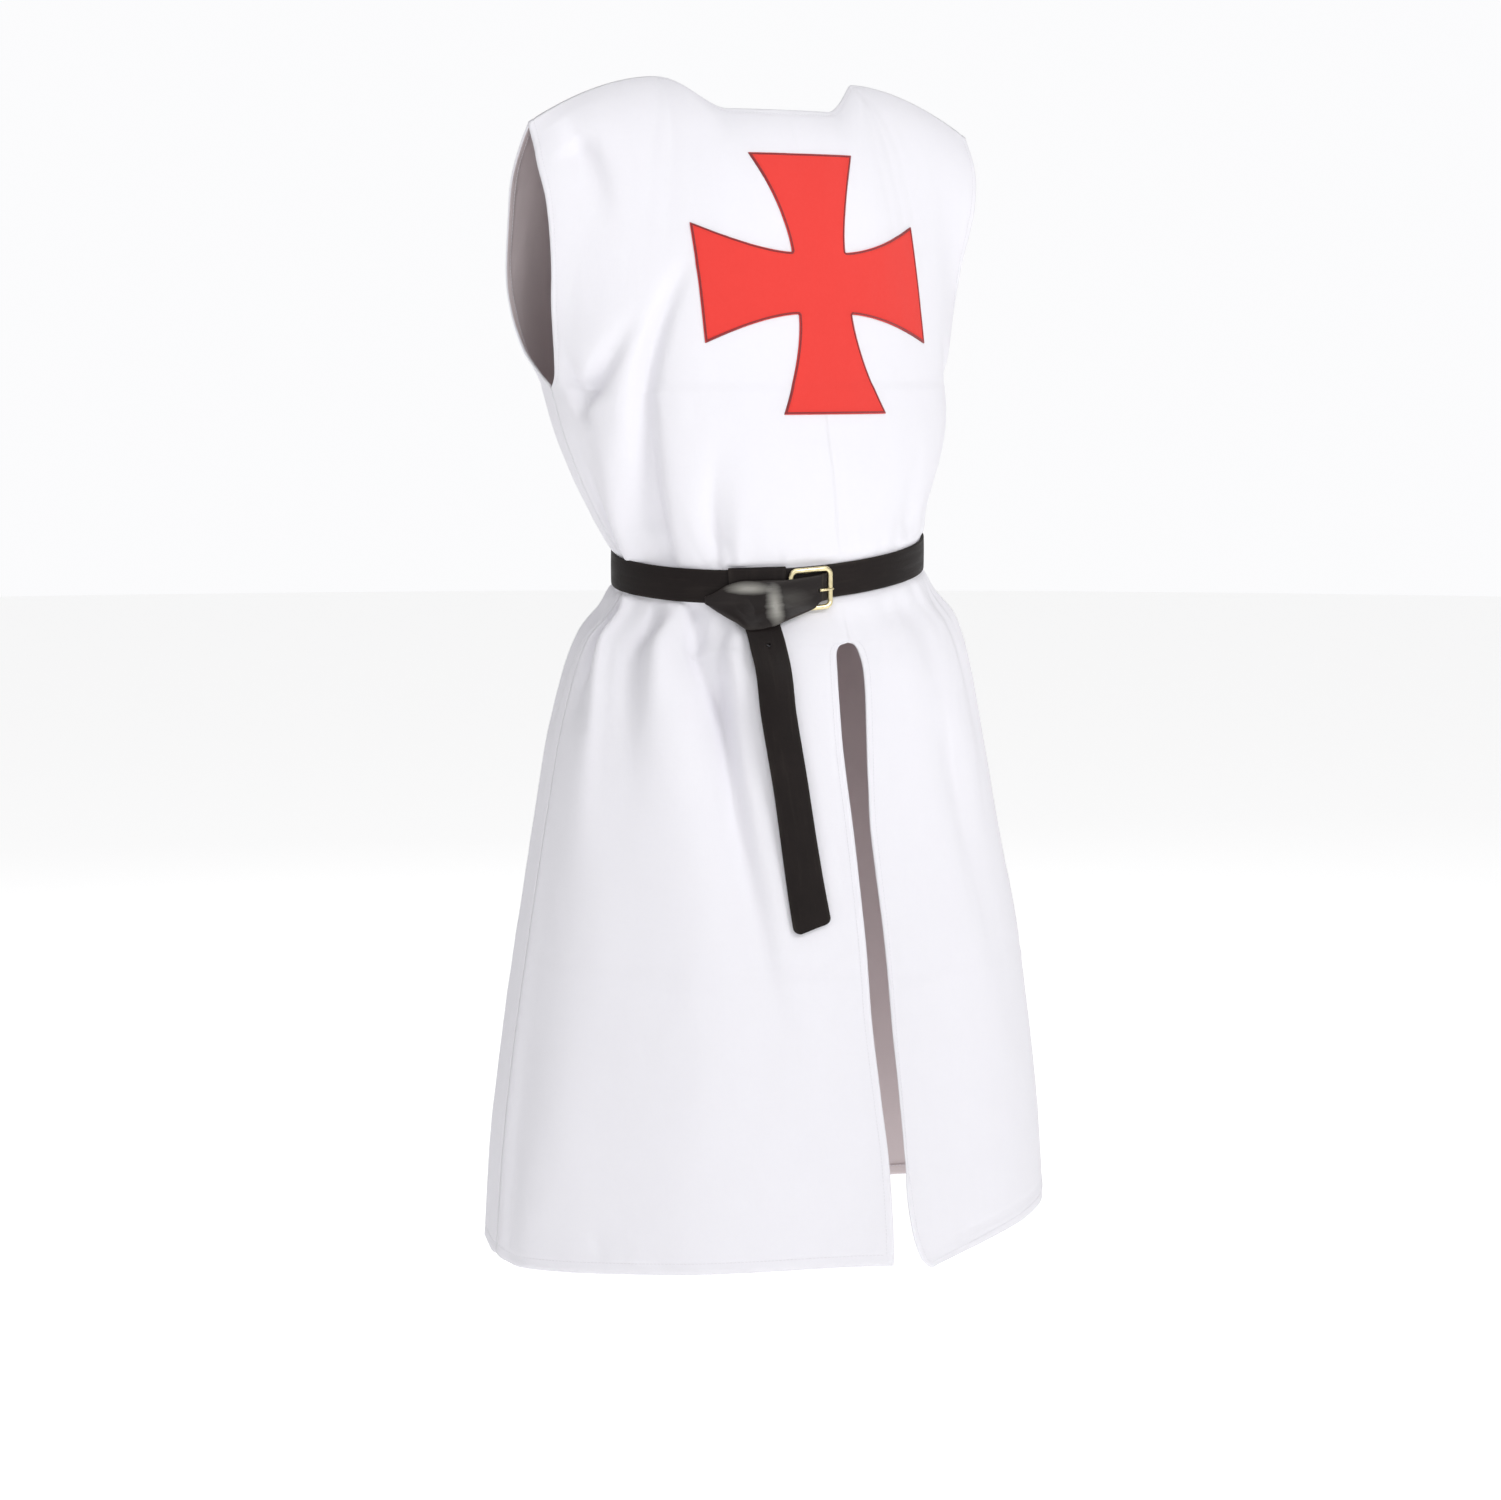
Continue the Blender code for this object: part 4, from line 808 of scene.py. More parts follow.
def stitches(places):
    """One mesh of small rounded stitches, each lying along its line."""
    points, faces = [], []
    turns = np.arange(STITCH_SIDES) * 2 * math.pi / STITCH_SIDES
    size = len(STITCH_RINGS) * STITCH_SIDES
    for number, (place, normal, along) in enumerate(places):
        start = number * size
        aside = np.cross(normal, along)
        rings = [
            place + along * (at * STITCH_LENGTH)
            + (aside * np.cos(turns)[:, None] + normal * np.sin(turns)[:, None]) * STITCH_RADIUS * wide
            for at, wide in STITCH_RINGS
        ]
        points.append(np.concatenate(rings))
        for r in range(len(STITCH_RINGS) - 1):
            for k in range(STITCH_SIDES):
                a, b = start + r * STITCH_SIDES + k, start + r * STITCH_SIDES + (k + 1) % STITCH_SIDES
                faces.append((a, b, b + STITCH_SIDES, a + STITCH_SIDES))
        faces.append(tuple(start + k for k in reversed(range(STITCH_SIDES))))
        faces.append(tuple(start + (len(STITCH_RINGS) - 1) * STITCH_SIDES + k for k in range(STITCH_SIDES)))
    return np.concatenate(points), faces


def sew_panel(name, halves):
    """Stitches on both faces along the hem, the slit, the neck and the armholes."""
    places = []
    for half in halves.values():
        for face, outward_by in ((half.outer, 0.00012), (half.inner, -0.00012)):
            for edge, width in TURNS.items():
                axis = 0 if edge in ("hem", "neck") else 1
                distance, level = half.distances[edge], width - STITCH_INSET
                line, found = level_line(face, distance, level, axis)
                normal, _ = level_line(half.normal, distance, level, axis)
                for other, other_width in TURNS.items():
                    if other != edge:
                        gap, _ = level_line(half.distances[other][..., None], distance, level, axis)
                        found = found & (gap[:, 0] > other_width - STITCH_INSET)
                if found.sum() > 3:
                    line = line + normal * outward_by
                    places += list(zip(*spaced(line[found], normal[found], STITCH_PITCH)))
    return mesh_object(name, *stitches(places), closed=True)


# ---------------------------------------------------------------- the cross sewn on the chest
CROSS_CELLS, CROSS_ARM_CELLS = 22, 34
CROSS_PROBE = 0.002
EDGE_INSET, EDGE_HALF_WIDTH, EDGE_HEIGHT = 0.0010, 0.0013, 0.0015
EDGE_PROFILE = 7


class Chest:
    """Finds the front cloth's face straight behind a point of the cross's plane."""

    def __init__(self, cloth):
        self.tree = BVHTree.FromObject(cloth, bpy.context.evaluated_depsgraph_get())

    def hit(self, s, t):
        start = Vector((CROSS_X + s, -0.5, CROSS_HEIGHT + t * math.cos(CHEST_SLOPE)))
        return np.array(self.tree.ray_cast(start, Vector((0, 1, 0)))[0])

    def at(self, s, t):
        """The face's point and its smooth direction outward."""
        right, left = self.hit(s - CROSS_PROBE, t), self.hit(s + CROSS_PROBE, t)
        below, above = self.hit(s, t - CROSS_PROBE), self.hit(s, t + CROSS_PROBE)
        return (right + left + below + above) / 4, unit(np.cross(left - right, above - below))


def flare(u):
    """Half the width of an arm at this share of its length."""
    return CROSS_WAIST / 2 + (CROSS_END - CROSS_WAIST) / 2 * u**CROSS_FLARE


def quarter_turned(arm):
    """The points of one arm at each quarter turn."""
    turns = ((1, 0), (0, 1), (-1, 0), (0, -1))
    return [arm @ np.array([[c, s], [-s, c]]) for c, s in turns]


def cross_grid():
    """Points of the cross in its plane and its cells: a square and four arms that share its edges."""
    waist, arm = CROSS_WAIST / 2, (CROSS_SIZE - CROSS_WAIST) / 2
    v = np.linspace(-1, 1, CROSS_CELLS + 1)
    middle = np.stack(np.meshgrid(v * waist, v * waist, indexing="ij"), axis=-1)
    u = np.linspace(0, 1, CROSS_ARM_CELLS + 1)[:, None]
    right = np.stack([waist + arm * u + 0 * v, v * flare(u)], axis=-1)
    points, quads, start = [], [], 0
    for patch in [middle] + quarter_turned(right):
        rows, columns = patch.shape[:2]
        index = start + np.arange(rows * columns).reshape(rows, columns)
        corners = [index[:-1, :-1], index[1:, :-1], index[1:, 1:], index[:-1, 1:]]
        quads.append(np.stack(corners, axis=-1).reshape(-1, 4))
        points.append(patch.reshape(-1, 2))
        start += rows * columns
    points, quads = np.concatenate(points), np.concatenate(quads)
    _, first, same = np.unique(np.round(points, 6), axis=0, return_index=True, return_inverse=True)
    return points[first], same.reshape(-1)[quads]


def build_cross(chest):
    flat, quads = cross_grid()
    places = [chest.at(s, t) for s, t in flat]
    base = np.array([point for point, _ in places])
    normal = np.array([direction for _, direction in places])
    outer = base + normal * (SEAM_GAP + APPLIQUE)
    inner = base + normal * SEAM_GAP
    return walled("cross_cloth", outer, inner, normal, flat, quads), quad_area(outer, quads)


def cross_border():
    """The line of the edging in the cross's plane, a little inside its outline, anticlockwise."""
    waist, arm = CROSS_WAIST / 2, (CROSS_SIZE - CROSS_WAIST) / 2
    u = np.linspace(0, 1, 60)
    half = flare(u) - EDGE_INSET
    out = waist + EDGE_INSET * 0.8 + (arm - 1.8 * EDGE_INSET) * u
    end = np.linspace(-half[-1], half[-1], 64)[1:-1]
    side = np.concatenate([
        np.stack([out, -half], axis=-1),
        np.stack([np.full_like(end, out[-1]), end], axis=-1),
        np.stack([out, half], axis=-1)[::-1],
    ])
    return np.concatenate(quarter_turned(side))


def build_cross_edge(chest):
    """Close stitching that binds the cross's edge to the cloth: a low rounded cord."""
    line = cross_border()
    ahead, behind = np.roll(line, -1, axis=0) - line, line - np.roll(line, 1, axis=0)
    unit_ahead, unit_behind = unit(ahead), unit(behind)
    out_ahead = np.stack([unit_ahead[:, 1], -unit_ahead[:, 0]], axis=-1)
    out_behind = np.stack([unit_behind[:, 1], -unit_behind[:, 0]], axis=-1)
    mitre = unit(out_ahead + out_behind)
    stretch = np.minimum(1 / np.maximum((mitre * out_ahead).sum(axis=-1), 0.3), 1.6)[:, None]
    shares = np.linspace(-1, 1, EDGE_PROFILE)
    length = np.concatenate([[0], np.cumsum(np.linalg.norm(ahead, axis=-1))[:-1]])
    loops, uv = [], []
    for share in shares:
        spread = line + mitre * stretch * share * EDGE_HALF_WIDTH
        lift = SEAM_GAP / 2 + EDGE_HEIGHT * math.sqrt(max(0.0, 1 - share * share))
        lift += APPLIQUE * 0.5 * (share < 0)
        placed = [chest.at(s, t) for s, t in spread]
        loops.append([point + normal * lift for point, normal in placed])
        uv.append(np.stack([length, np.full_like(length, share * EDGE_HALF_WIDTH)], axis=-1))
    points = np.array(loops).reshape(-1, 3)
    count = len(line)
    faces = []
    for k in range(EDGE_PROFILE):
        following = (k + 1) % EDGE_PROFILE
        for i in range(count):
            j = (i + 1) % count
            faces.append((k * count + i, k * count + j, following * count + j, following * count + i))
    return mesh_object("cross_edging", points, faces, np.concatenate(uv), closed=True)


# ---------------------------------------------------------------- belt, knot and hanging end
STRAP_CORNER_STEPS, STRAP_TOP_STEPS = 4, 12
BELT_RING_STEPS = 132
STRAP_ROUND, UNDER_ROUND = 0.0010, 0.0005
LEATHER_DOME = 0.00025
# The hanging end's low unevenness, from a little under the knot
WAVER_DEPTH, WAVER_LENGTH, WAVER_WIDTHS, WAVER_FROM, WAVER_FADE = 0.0005, 0.055, 1.3, -0.06, 0.05
WAVER_SEED, WAVER_OFFSET_SEED = 7, 5
HOLE_CUT_RAISE, HOLE_CUT_DEPTH, HOLE_CUT_SIDES = 0.004, 0.02, 28


def strap_profile(width, thickness, corner, under):
    """A strap's section as shares of its width and lifts, starting under its first edge."""
    turns = np.linspace(0, math.pi / 2, STRAP_CORNER_STEPS + 1)
    foot = np.stack([under * (1 - np.sin(turns)), under * (1 - np.cos(turns))], axis=-1)
    head = np.stack([corner * (1 - np.cos(turns)), thickness - corner * (1 - np.sin(turns))], axis=-1)
    left = np.concatenate([foot, head])
    top = np.linspace(corner, width - corner, STRAP_TOP_STEPS + 1)[1:-1]
    crown = np.stack([top, np.full_like(top, thickness)], axis=-1)
    right = (left * (-1, 1) + (width, 0))[::-1]
    section = np.concatenate([left, crown, right])
    share = section[:, 0] / width
    dome = LEATHER_DOME * np.sin(math.pi * share) * (section[:, 1] > thickness / 2)
    return share, section[:, 1] + dome


def swept(name, loops, uv, closed):
    """A strap's mesh from sections of equal size along it."""
    count, size = loops.shape[:2]
    faces = []
    for i in range(count if closed else count - 1):
        j = (i + 1) % count
        for k in range(size):
            following = (k + 1) % size
            faces.append((i * size + k, i * size + following, j * size + following, j * size + k))
    if not closed:
        faces.append(tuple(range(size)))
        faces.append(tuple((count - 1) * size + k for k in reversed(range(size))))
    return mesh_object(name, loops.reshape(-1, 3), faces, uv.reshape(-1, 2), closed=True)


def cloth_point(side, across, height):
    """The cloth with its large folds alone: a point of its outer face and its direction outward."""
    normal = outward(side, across, height)
    depth = fold_depth(side, across, height)
    return plain_point(side, across, height) + normal * depth[:, None], normal


def front_at(x, height):
    """The front cloth where it has these X and heights, and its direction outward."""
    low, high = np.full_like(x, -1.0), np.full_like(x, 1.0)
    for _ in range(HALVINGS):
        middle = (low + high) / 2
        small = body_point(FRONT, middle, height)[:, 0] < x
        low, high = np.where(small, middle, low), np.where(small, high, middle)
    return cloth_point(FRONT, (low + high) / 2, height)


def strap_uv(loops, share):
    """Each point's length along the strap and its place across it."""
    length = lengths_along(loops.mean(axis=1))
    return np.stack(np.broadcast_arrays(length[:, None], (share - 0.5) * BELT_WIDTH), axis=-1)


def build_belt():
    """The belt's loop round the waist."""
    half = BELT_WIDTH / 2
    share, lift = strap_profile(BELT_WIDTH, LEATHER, STRAP_ROUND, UNDER_ROUND)
    loops = []
    for side, places in ((FRONT, np.linspace(-1, 1, BELT_RING_STEPS + 1)),
                         (BACK, np.linspace(1, -1, BELT_RING_STEPS + 1)[1:-1])):
        low, _ = cloth_point(side, places, np.full_like(places, BELT - half))
        high, _ = cloth_point(side, places, np.full_like(places, BELT + half))
        _, normal = cloth_point(side, places, np.full_like(places, BELT))
        up = unit(high - low)
        normal = unit(normal - up * (normal * up).sum(axis=-1, keepdims=True))
        middle = (low + high) / 2 + normal * SEAM_GAP
        rise = (share - 0.5) * BELT_WIDTH
        loops.append(middle[:, None] + up[:, None] * rise[:, None] + normal[:, None] * lift[:, None])
    loops = np.concatenate(loops)
    return swept("belt_leather_loop", loops, strap_uv(loops, share), closed=True)


def laid_strap(name, rows, extra):
    """A strap lying on the front; extra gives more lift from the X, the share and the row."""
    columns = {field: np.array([getattr(row, field) for row in rows]) for field in StrapRow._fields}
    share, section = strap_profile(BELT_WIDTH, STRAP_LEATHER, STRAP_ROUND, UNDER_ROUND)
    x = columns["x_a"][:, None] * (1 - share) + columns["x_b"][:, None] * share
    height = columns["height_a"][:, None] * (1 - share) + columns["height_b"][:, None] * share
    point, normal = front_at(x.ravel(), BELT + height.ravel())
    lift = columns["lift"][:, None] + columns["bulge"][:, None] * np.sin(math.pi * share) + section
    lift = lift + extra(x, share, height)
    loops = point.reshape(*x.shape, 3) + normal.reshape(*x.shape, 3) * lift[..., None]
    return swept(name, loops, strap_uv(loops, share), closed=False)


def finer(rows, steps):
    """The rows with more between them, on smooth curves."""
    indexed = namedtuple("indexed", ("place",) + StrapRow._fields)
    table = [indexed(float(k), *row) for k, row in enumerate(rows)]
    places = np.linspace(0, len(rows) - 1, steps * (len(rows) - 1) + 1)
    columns = [eased(table, places, field) for field in StrapRow._fields]
    return [StrapRow(*values) for values in zip(*columns)]


def tail_rows():
    half = BELT_WIDTH / 2
    rows = [
        StrapRow(HOOK_RIGHT, half + row.above_edge, HOOK_LEFT, half + row.above_edge, row.lift, 0)
        for row in HOOK
    ]
    top, bottom = TAIL[-1], TAIL[0]
    start_width, start_x = HOOK_LEFT - HOOK_RIGHT, (HOOK_LEFT + HOOK_RIGHT) / 2
    for k in range(1, HOOK_STEPS + 1):
        share = k / (HOOK_STEPS + 1)
        height = half + (top.height - half) * share
        x = start_x + (top.middle - start_x) * smooth(share)
        width = start_width + (top.width - start_width) * smooth(share)
        rows.append(StrapRow(x - width / 2, height, x + width / 2, height, top.lift, 0))
    for k in range(TAIL_STEPS + 1):
        share = k / TAIL_STEPS
        height = top.height + (bottom.height + TAIL_CORNER - top.height) * share
        x, half_width = float(eased(TAIL, height, "middle")), float(eased(TAIL, height, "width")) / 2
        slant = TAIL_SLANT / 2 * share
        lift = float(eased(TAIL, height, "lift"))
        rows.append(StrapRow(x - half_width, height - slant, x + half_width, height + slant, lift, 0))
    rows = finer(rows, 5)
    last = rows[-1]
    for turn in np.radians(TAIL_END_TURNS):
        drop, narrow = TAIL_CORNER * math.sin(turn), TAIL_CORNER * (1 - math.cos(turn))
        rows.append(last._replace(x_a=last.x_a + narrow, height_a=last.height_a - drop,
                                  x_b=last.x_b - narrow, height_b=last.height_b - drop))
    return rows


def punch(obj, centre, normal, radius):
    """Cuts a round hole through the strap."""
    bpy.ops.mesh.primitive_cylinder_add(
        vertices=HOLE_CUT_SIDES, radius=radius, depth=HOLE_CUT_DEPTH, location=centre
    )
    cutter = bpy.context.object
    cutter.rotation_euler = Vector(normal).to_track_quat("Z", "Y").to_euler()
    cut = obj.modifiers.new("hole", "BOOLEAN")
    cut.operation, cut.solver, cut.object = "DIFFERENCE", "EXACT", cutter
    bpy.context.view_layer.update()
    graph = bpy.context.evaluated_depsgraph_get()
    obj.data = bpy.data.meshes.new_from_object(obj.evaluated_get(graph))
    obj.modifiers.clear()
    bpy.data.objects.remove(cutter)


def build_tail():
    """The belt's free end: out over the belt's top edge, behind the knot and down the skirt."""
    offset = lattice_noise(np.array([0.0]), np.array([0.0]), WAVER_OFFSET_SEED)[0]

    def waver(x, share, height):
        along = lattice_noise(height / WAVER_LENGTH + offset, share * WAVER_WIDTHS, WAVER_SEED)
        return WAVER_DEPTH * along * smooth((WAVER_FROM - height) / WAVER_FADE)

    tail = laid_strap("belt_leather_end", tail_rows(), waver)
    height = np.array([HOLE_HEIGHT])
    point, normal = front_at(eased(TAIL, height, "middle"), BELT + height)
    punch(tail, point[0] + normal[0] * HOLE_CUT_RAISE, normal[0], HOLE_RADIUS)
    return tail


def build_knot():
    """The strap from the buckle, laid down over the hanging end and folded behind the belt."""
    def folds(x, share, height):
        ridge = KNOT_RIDGE * bump((x - KNOT_RIDGE_X - (share - 0.5) * 0.012) / 0.0090)
        hollow = -KNOT_HOLLOW * bump((x - KNOT_HOLLOW_X - (share - 0.5) * 0.008) / 0.006)
        crease = -0.0007 * bump((share - 0.30 - (x + 0.05) * 1.5) / 0.06) * smooth((x + 0.085) / 0.02)
        rolled = -KNOT_ROLL * smooth((share - 0.86) / 0.14) ** 1.6 * smooth((-0.06 - x) / 0.03)
        return (ridge + hollow) * np.sin(math.pi * np.clip(share, 0, 1)) ** 0.5 + crease + rolled

    return laid_strap("belt_leather_knot", finer(WRAP, 8), folds)


# ---------------------------------------------------------------- buckle
BAR_SIDES, CORNER_STEPS, STRAIGHT_STEPS = 16, 8, 8
FRAME_FLATTEN = 0.86
PRONG_STEPS = 16
PRONG_DROOP = 0.0010
BUCKLE_LIFT = SEAM_GAP * 2 + LEATHER + FRAME_WIRE


def on_belt(x, height, lift):
    point, normal = front_at(np.asarray(x, float), BELT + np.asarray(height, float))
    return point + normal * np.asarray(lift)[..., None], normal


def bar(name, path, normal, radius, closed, flatten=1.0):
    """A smooth metal bar along a path, a little flattened against its normal."""
    ahead = np.roll(path, -1, axis=0) if closed else np.concatenate([path[1:], path[-1:]])
    behind = np.roll(path, 1, axis=0) if closed else np.concatenate([path[:1], path[:-1]])
    along = unit(ahead - behind)
    lift = unit(normal - along * (normal * along).sum(axis=-1, keepdims=True))
    aside = np.cross(along, lift)
    turns = np.arange(BAR_SIDES) * 2 * math.pi / BAR_SIDES
    radius = np.broadcast_to(np.asarray(radius, float), len(path))[:, None, None]
    ring = aside[:, None] * np.cos(turns)[:, None] + lift[:, None] * np.sin(turns)[:, None] * flatten
    loops = path[:, None] + ring * radius
    return swept(name, loops, np.zeros((*loops.shape[:2], 2)), closed)


def build_frame():
    middle_x, middle_z = (FRAME_LEFT_X + FRAME_RIGHT_X) / 2, (FRAME_TOP + FRAME_BOTTOM) / 2
    reach_x = (FRAME_RIGHT_X - FRAME_LEFT_X) / 2 - FRAME_CORNER
    reach_z = (FRAME_TOP - FRAME_BOTTOM) / 2 - FRAME_CORNER
    corners = []
    for quarter, (sx, sz) in enumerate(((1, 1), (-1, 1), (-1, -1), (1, -1))):
        turns = math.pi / 2 * (quarter + np.linspace(0, 1, CORNER_STEPS + 1))
        corners.append(np.stack([middle_x + sx * reach_x + FRAME_CORNER * np.cos(turns),
                                 middle_z + sz * reach_z + FRAME_CORNER * np.sin(turns)], axis=-1))
    path = []
    for here, there in zip(corners, corners[1:] + corners[:1]):
        path.append(here)
        path.append(np.linspace(here[-1], there[0], STRAIGHT_STEPS + 1)[1:-1])
    path = np.concatenate(path)
    points, normal = on_belt(path[:, 0], path[:, 1], np.full(len(path), BUCKLE_LIFT))
    return bar("buckle_brass", points, normal, FRAME_WIRE, True, FRAME_FLATTEN)


def build_prong():
    tip_lift = BUCKLE_LIFT + FRAME_WIRE * FRAME_FLATTEN + SEAM_GAP + PRONG_WIRE
    t = np.linspace(0, 1, PRONG_STEPS + 1)
    x = PRONG_START_X + (PRONG_TIP_X - PRONG_START_X) * t
    lifts = PRONG_START_LIFT + (tip_lift - PRONG_START_LIFT) * t + PRONG_DROOP * np.sin(math.pi * t)
    points, normal = on_belt(x, np.full_like(x, PRONG_HEIGHT), lifts)
    ends = np.sqrt(np.clip(1 - np.clip((t - 0.9) / 0.1, 0, 1) ** 2, 0.02, 1))
    radius = PRONG_WIRE * (1 - (1 - PRONG_TIP_SHARE) * t) * ends
    return bar("prong_brass", points, normal, radius, False)


# ---------------------------------------------------------------- materials
WHITE_CLOTH = (0.835, 0.825, 0.868)
# Inner faces: the same white cotton, dimmed to mauve-grey as painted shade of the garment's inside
INSIDE_PAINTED_SHADE = (0.660, 0.585, 0.595)
RED_CLOTH = (0.800, 0.052, 0.042)
DARK_RED = (0.330, 0.022, 0.024)
LEATHER_DARK = (0.0085, 0.0058, 0.0054)
LEATHER_WORN = (0.042, 0.035, 0.030)
# Pale colour of the knot's painted highlights, where light falls on it
LEATHER_PAINTED_HIGHLIGHT = (0.290, 0.282, 0.258)
BRASS = (0.860, 0.760, 0.470)
BRASS_DULL = (0.560, 0.450, 0.230)


class Nodes:
    """Short names for building one material's nodes."""

    def __init__(self, name):
        self.material = bpy.data.materials.new(name)
        self.material.use_nodes = True
        self.tree = self.material.node_tree
        self.shader = self.tree.nodes["Principled BSDF"]
        self.place = self.add("ShaderNodeTexCoord").outputs["Object"]

    def weave(self):
        """The flat coordinates along the cloth or strap, and their separate parts."""
        flat = self.add("ShaderNodeUVMap", uv_map="weave").outputs[0]
        return flat, self.add("ShaderNodeSeparateXYZ", {0: flat}).outputs

    def add(self, kind, inputs=None, **settings):
        node = self.tree.nodes.new(kind)
        for key, value in settings.items():
            setattr(node, key, value)
        for key, value in (inputs or {}).items():
            self.put(node.inputs[key], value)
        return node

    def put(self, socket, value):
        if isinstance(value, bpy.types.NodeSocket):
            self.tree.links.new(value, socket)
        else:
            socket.default_value = value

    def set(self, name, value):
        self.put(self.shader.inputs[name], value)

    def math(self, operation, a, b=0.0, c=0.0):
        node = self.add("ShaderNodeMath", {0: a, 1: b, 2: c}, operation=operation)
        return node.outputs[0]

    def mix(self, factor, a, b):
        """A colour between two colours, each (r, g, b, 1) or a socket."""
        node = self.add("ShaderNodeMix", data_type="RGBA")
        self.put(node.inputs[0], factor)
        self.put(node.inputs[6], a)
        self.put(node.inputs[7], b)
        return node.outputs[2]

    def noise(self, vector, scale, detail=2.0, roughness=0.5):
        node = self.add("ShaderNodeTexNoise", {"Vector": vector, "Scale": scale, "Detail": detail,
                                               "Roughness": roughness})
        return node.outputs[0]

    def between(self, value, low, high, out_low=0.0, out_high=1.0):
        node = self.add("ShaderNodeMapRange", {0: value, 1: low, 2: high, 3: out_low, 4: out_high})
        return node.outputs[0]

    def stretched(self, vector, scale):
        return self.add("ShaderNodeMapping", {"Vector": vector, "Scale": scale}).outputs[0]

    def bump(self, height, distance, strength, under=None):
        inputs = {"Height": height, "Distance": distance, "Strength": strength}
        if under is not None:
            inputs["Normal"] = under
        return self.add("ShaderNodeBump", inputs).outputs[0]


def rgb(colour, gain=1.0):
    return tuple(min(1.0, c * gain) for c in colour) + (1.0,)


def cloth_material(name, colour, pitch=0.00072, weave_depth=0.00009, shade=0.045, sheen=0.10):
    """Plain-woven cotton: threads over and under, slubs, faint unevenness of its colour."""
    n = Nodes(name)
    flat, parts = n.weave()
    turns = 2 * math.pi / pitch
    wobble = n.math("MULTIPLY", n.noise(n.stretched(flat, (90.0, 90.0, 1.0)), 1.0, 3.0), 2.4)
    across = n.math("SINE", n.math("MULTIPLY_ADD", parts[0], turns, wobble))
    along = n.math("SINE", n.math("MULTIPLY_ADD", parts[1], turns, wobble))
    weave = n.math("MULTIPLY", across, along)
    slub_u = n.noise(n.stretched(flat, (1100.0, 38.0, 1.0)), 1.0, 2.0)
    slub_v = n.noise(n.stretched(flat, (34.0, 1000.0, 1.0)), 1.0, 2.0)
    slubs = n.math("MULTIPLY_ADD", n.math("ADD", slub_u, slub_v), 0.5, -0.5)
    fine = n.noise(n.stretched(flat, (260.0, 210.0, 1.0)), 1.0, 3.0)
    # The colour darkens where the weave and the slubs lie low: painted shade in the cloth's hollows
    hollow = n.math("MULTIPLY_ADD", weave, -0.35, n.math("MULTIPLY_ADD", slubs, -0.5, 0.75))
    base = n.mix(n.math("MULTIPLY", hollow, shade), rgb(colour), rgb(colour, 0.72))
    cloudy = n.between(n.noise(n.place, 7.0, 4.0, 0.55), 0.35, 0.70, 0.0, 0.05)
    base = n.mix(cloudy, base, rgb(colour, 0.82))
    base = n.mix(n.between(fine, 0.45, 0.75, 0.0, 0.04), base, rgb(colour, 0.85))
    n.set("Base Color", base)
    n.set("Roughness", n.between(fine, 0.3, 0.7, 0.82, 0.93))
    n.set("Specular IOR Level", 0.25)
    n.set("Sheen Weight", sheen)
    n.set("Sheen Roughness", 0.5)
    relief = n.math("MULTIPLY_ADD", slubs, 1.6, n.math("MULTIPLY", weave, 0.5))
    threads = n.bump(relief, weave_depth, 0.8)
    crumple = n.noise(n.stretched(flat, (60.0, 26.0, 1.0)), 1.0, 3.0, 0.55)
    n.set("Normal", n.bump(crumple, 0.0010, 0.35, threads))
    return n.material


def thread_material(name, colour, pitch):
    """Sewing thread, ribbed across its line where stitches lie close."""
    n = Nodes(name)
    flat, parts = n.weave()
    slant = n.math("MULTIPLY_ADD", parts[1], 0.35, parts[0])
    ribs = n.math("SINE", n.math("MULTIPLY", slant, 2 * math.pi / pitch))
    fine = n.noise(n.place, 900.0, 3.0)
    # The colour darkens in the grooves between the ribs: painted shade
    n.set("Base Color", n.mix(n.between(ribs, -1.0, 1.0, 0.5, 0.0), rgb(colour), rgb(colour, 0.6)))
    n.set("Roughness", n.between(fine, 0.3, 0.7, 0.55, 0.75))
    n.set("Sheen Weight", 0.15)
    n.set("Normal", n.bump(n.math("ADD", ribs, fine), 0.00012, 0.8))
    return n.material


# Painted highlights on the knot, paler colour where light falls on its leather: their middle from the
# belt's, their half size and how pale they are
Rubbed = namedtuple("Rubbed", "x height half_width half_height share")
KNOT_PAINTED_HIGHLIGHTS = [
    Rubbed(-0.0775, -0.018, 0.0085, 0.019, 1.0),
    Rubbed(-0.0990, -0.0005, 0.0165, 0.0062, 1.0),
    Rubbed(-0.0600, -0.012, 0.0200, 0.009, 0.12),
]
KNOT_GLOSS, KNOT_SPECULAR = 0.12, 0.24


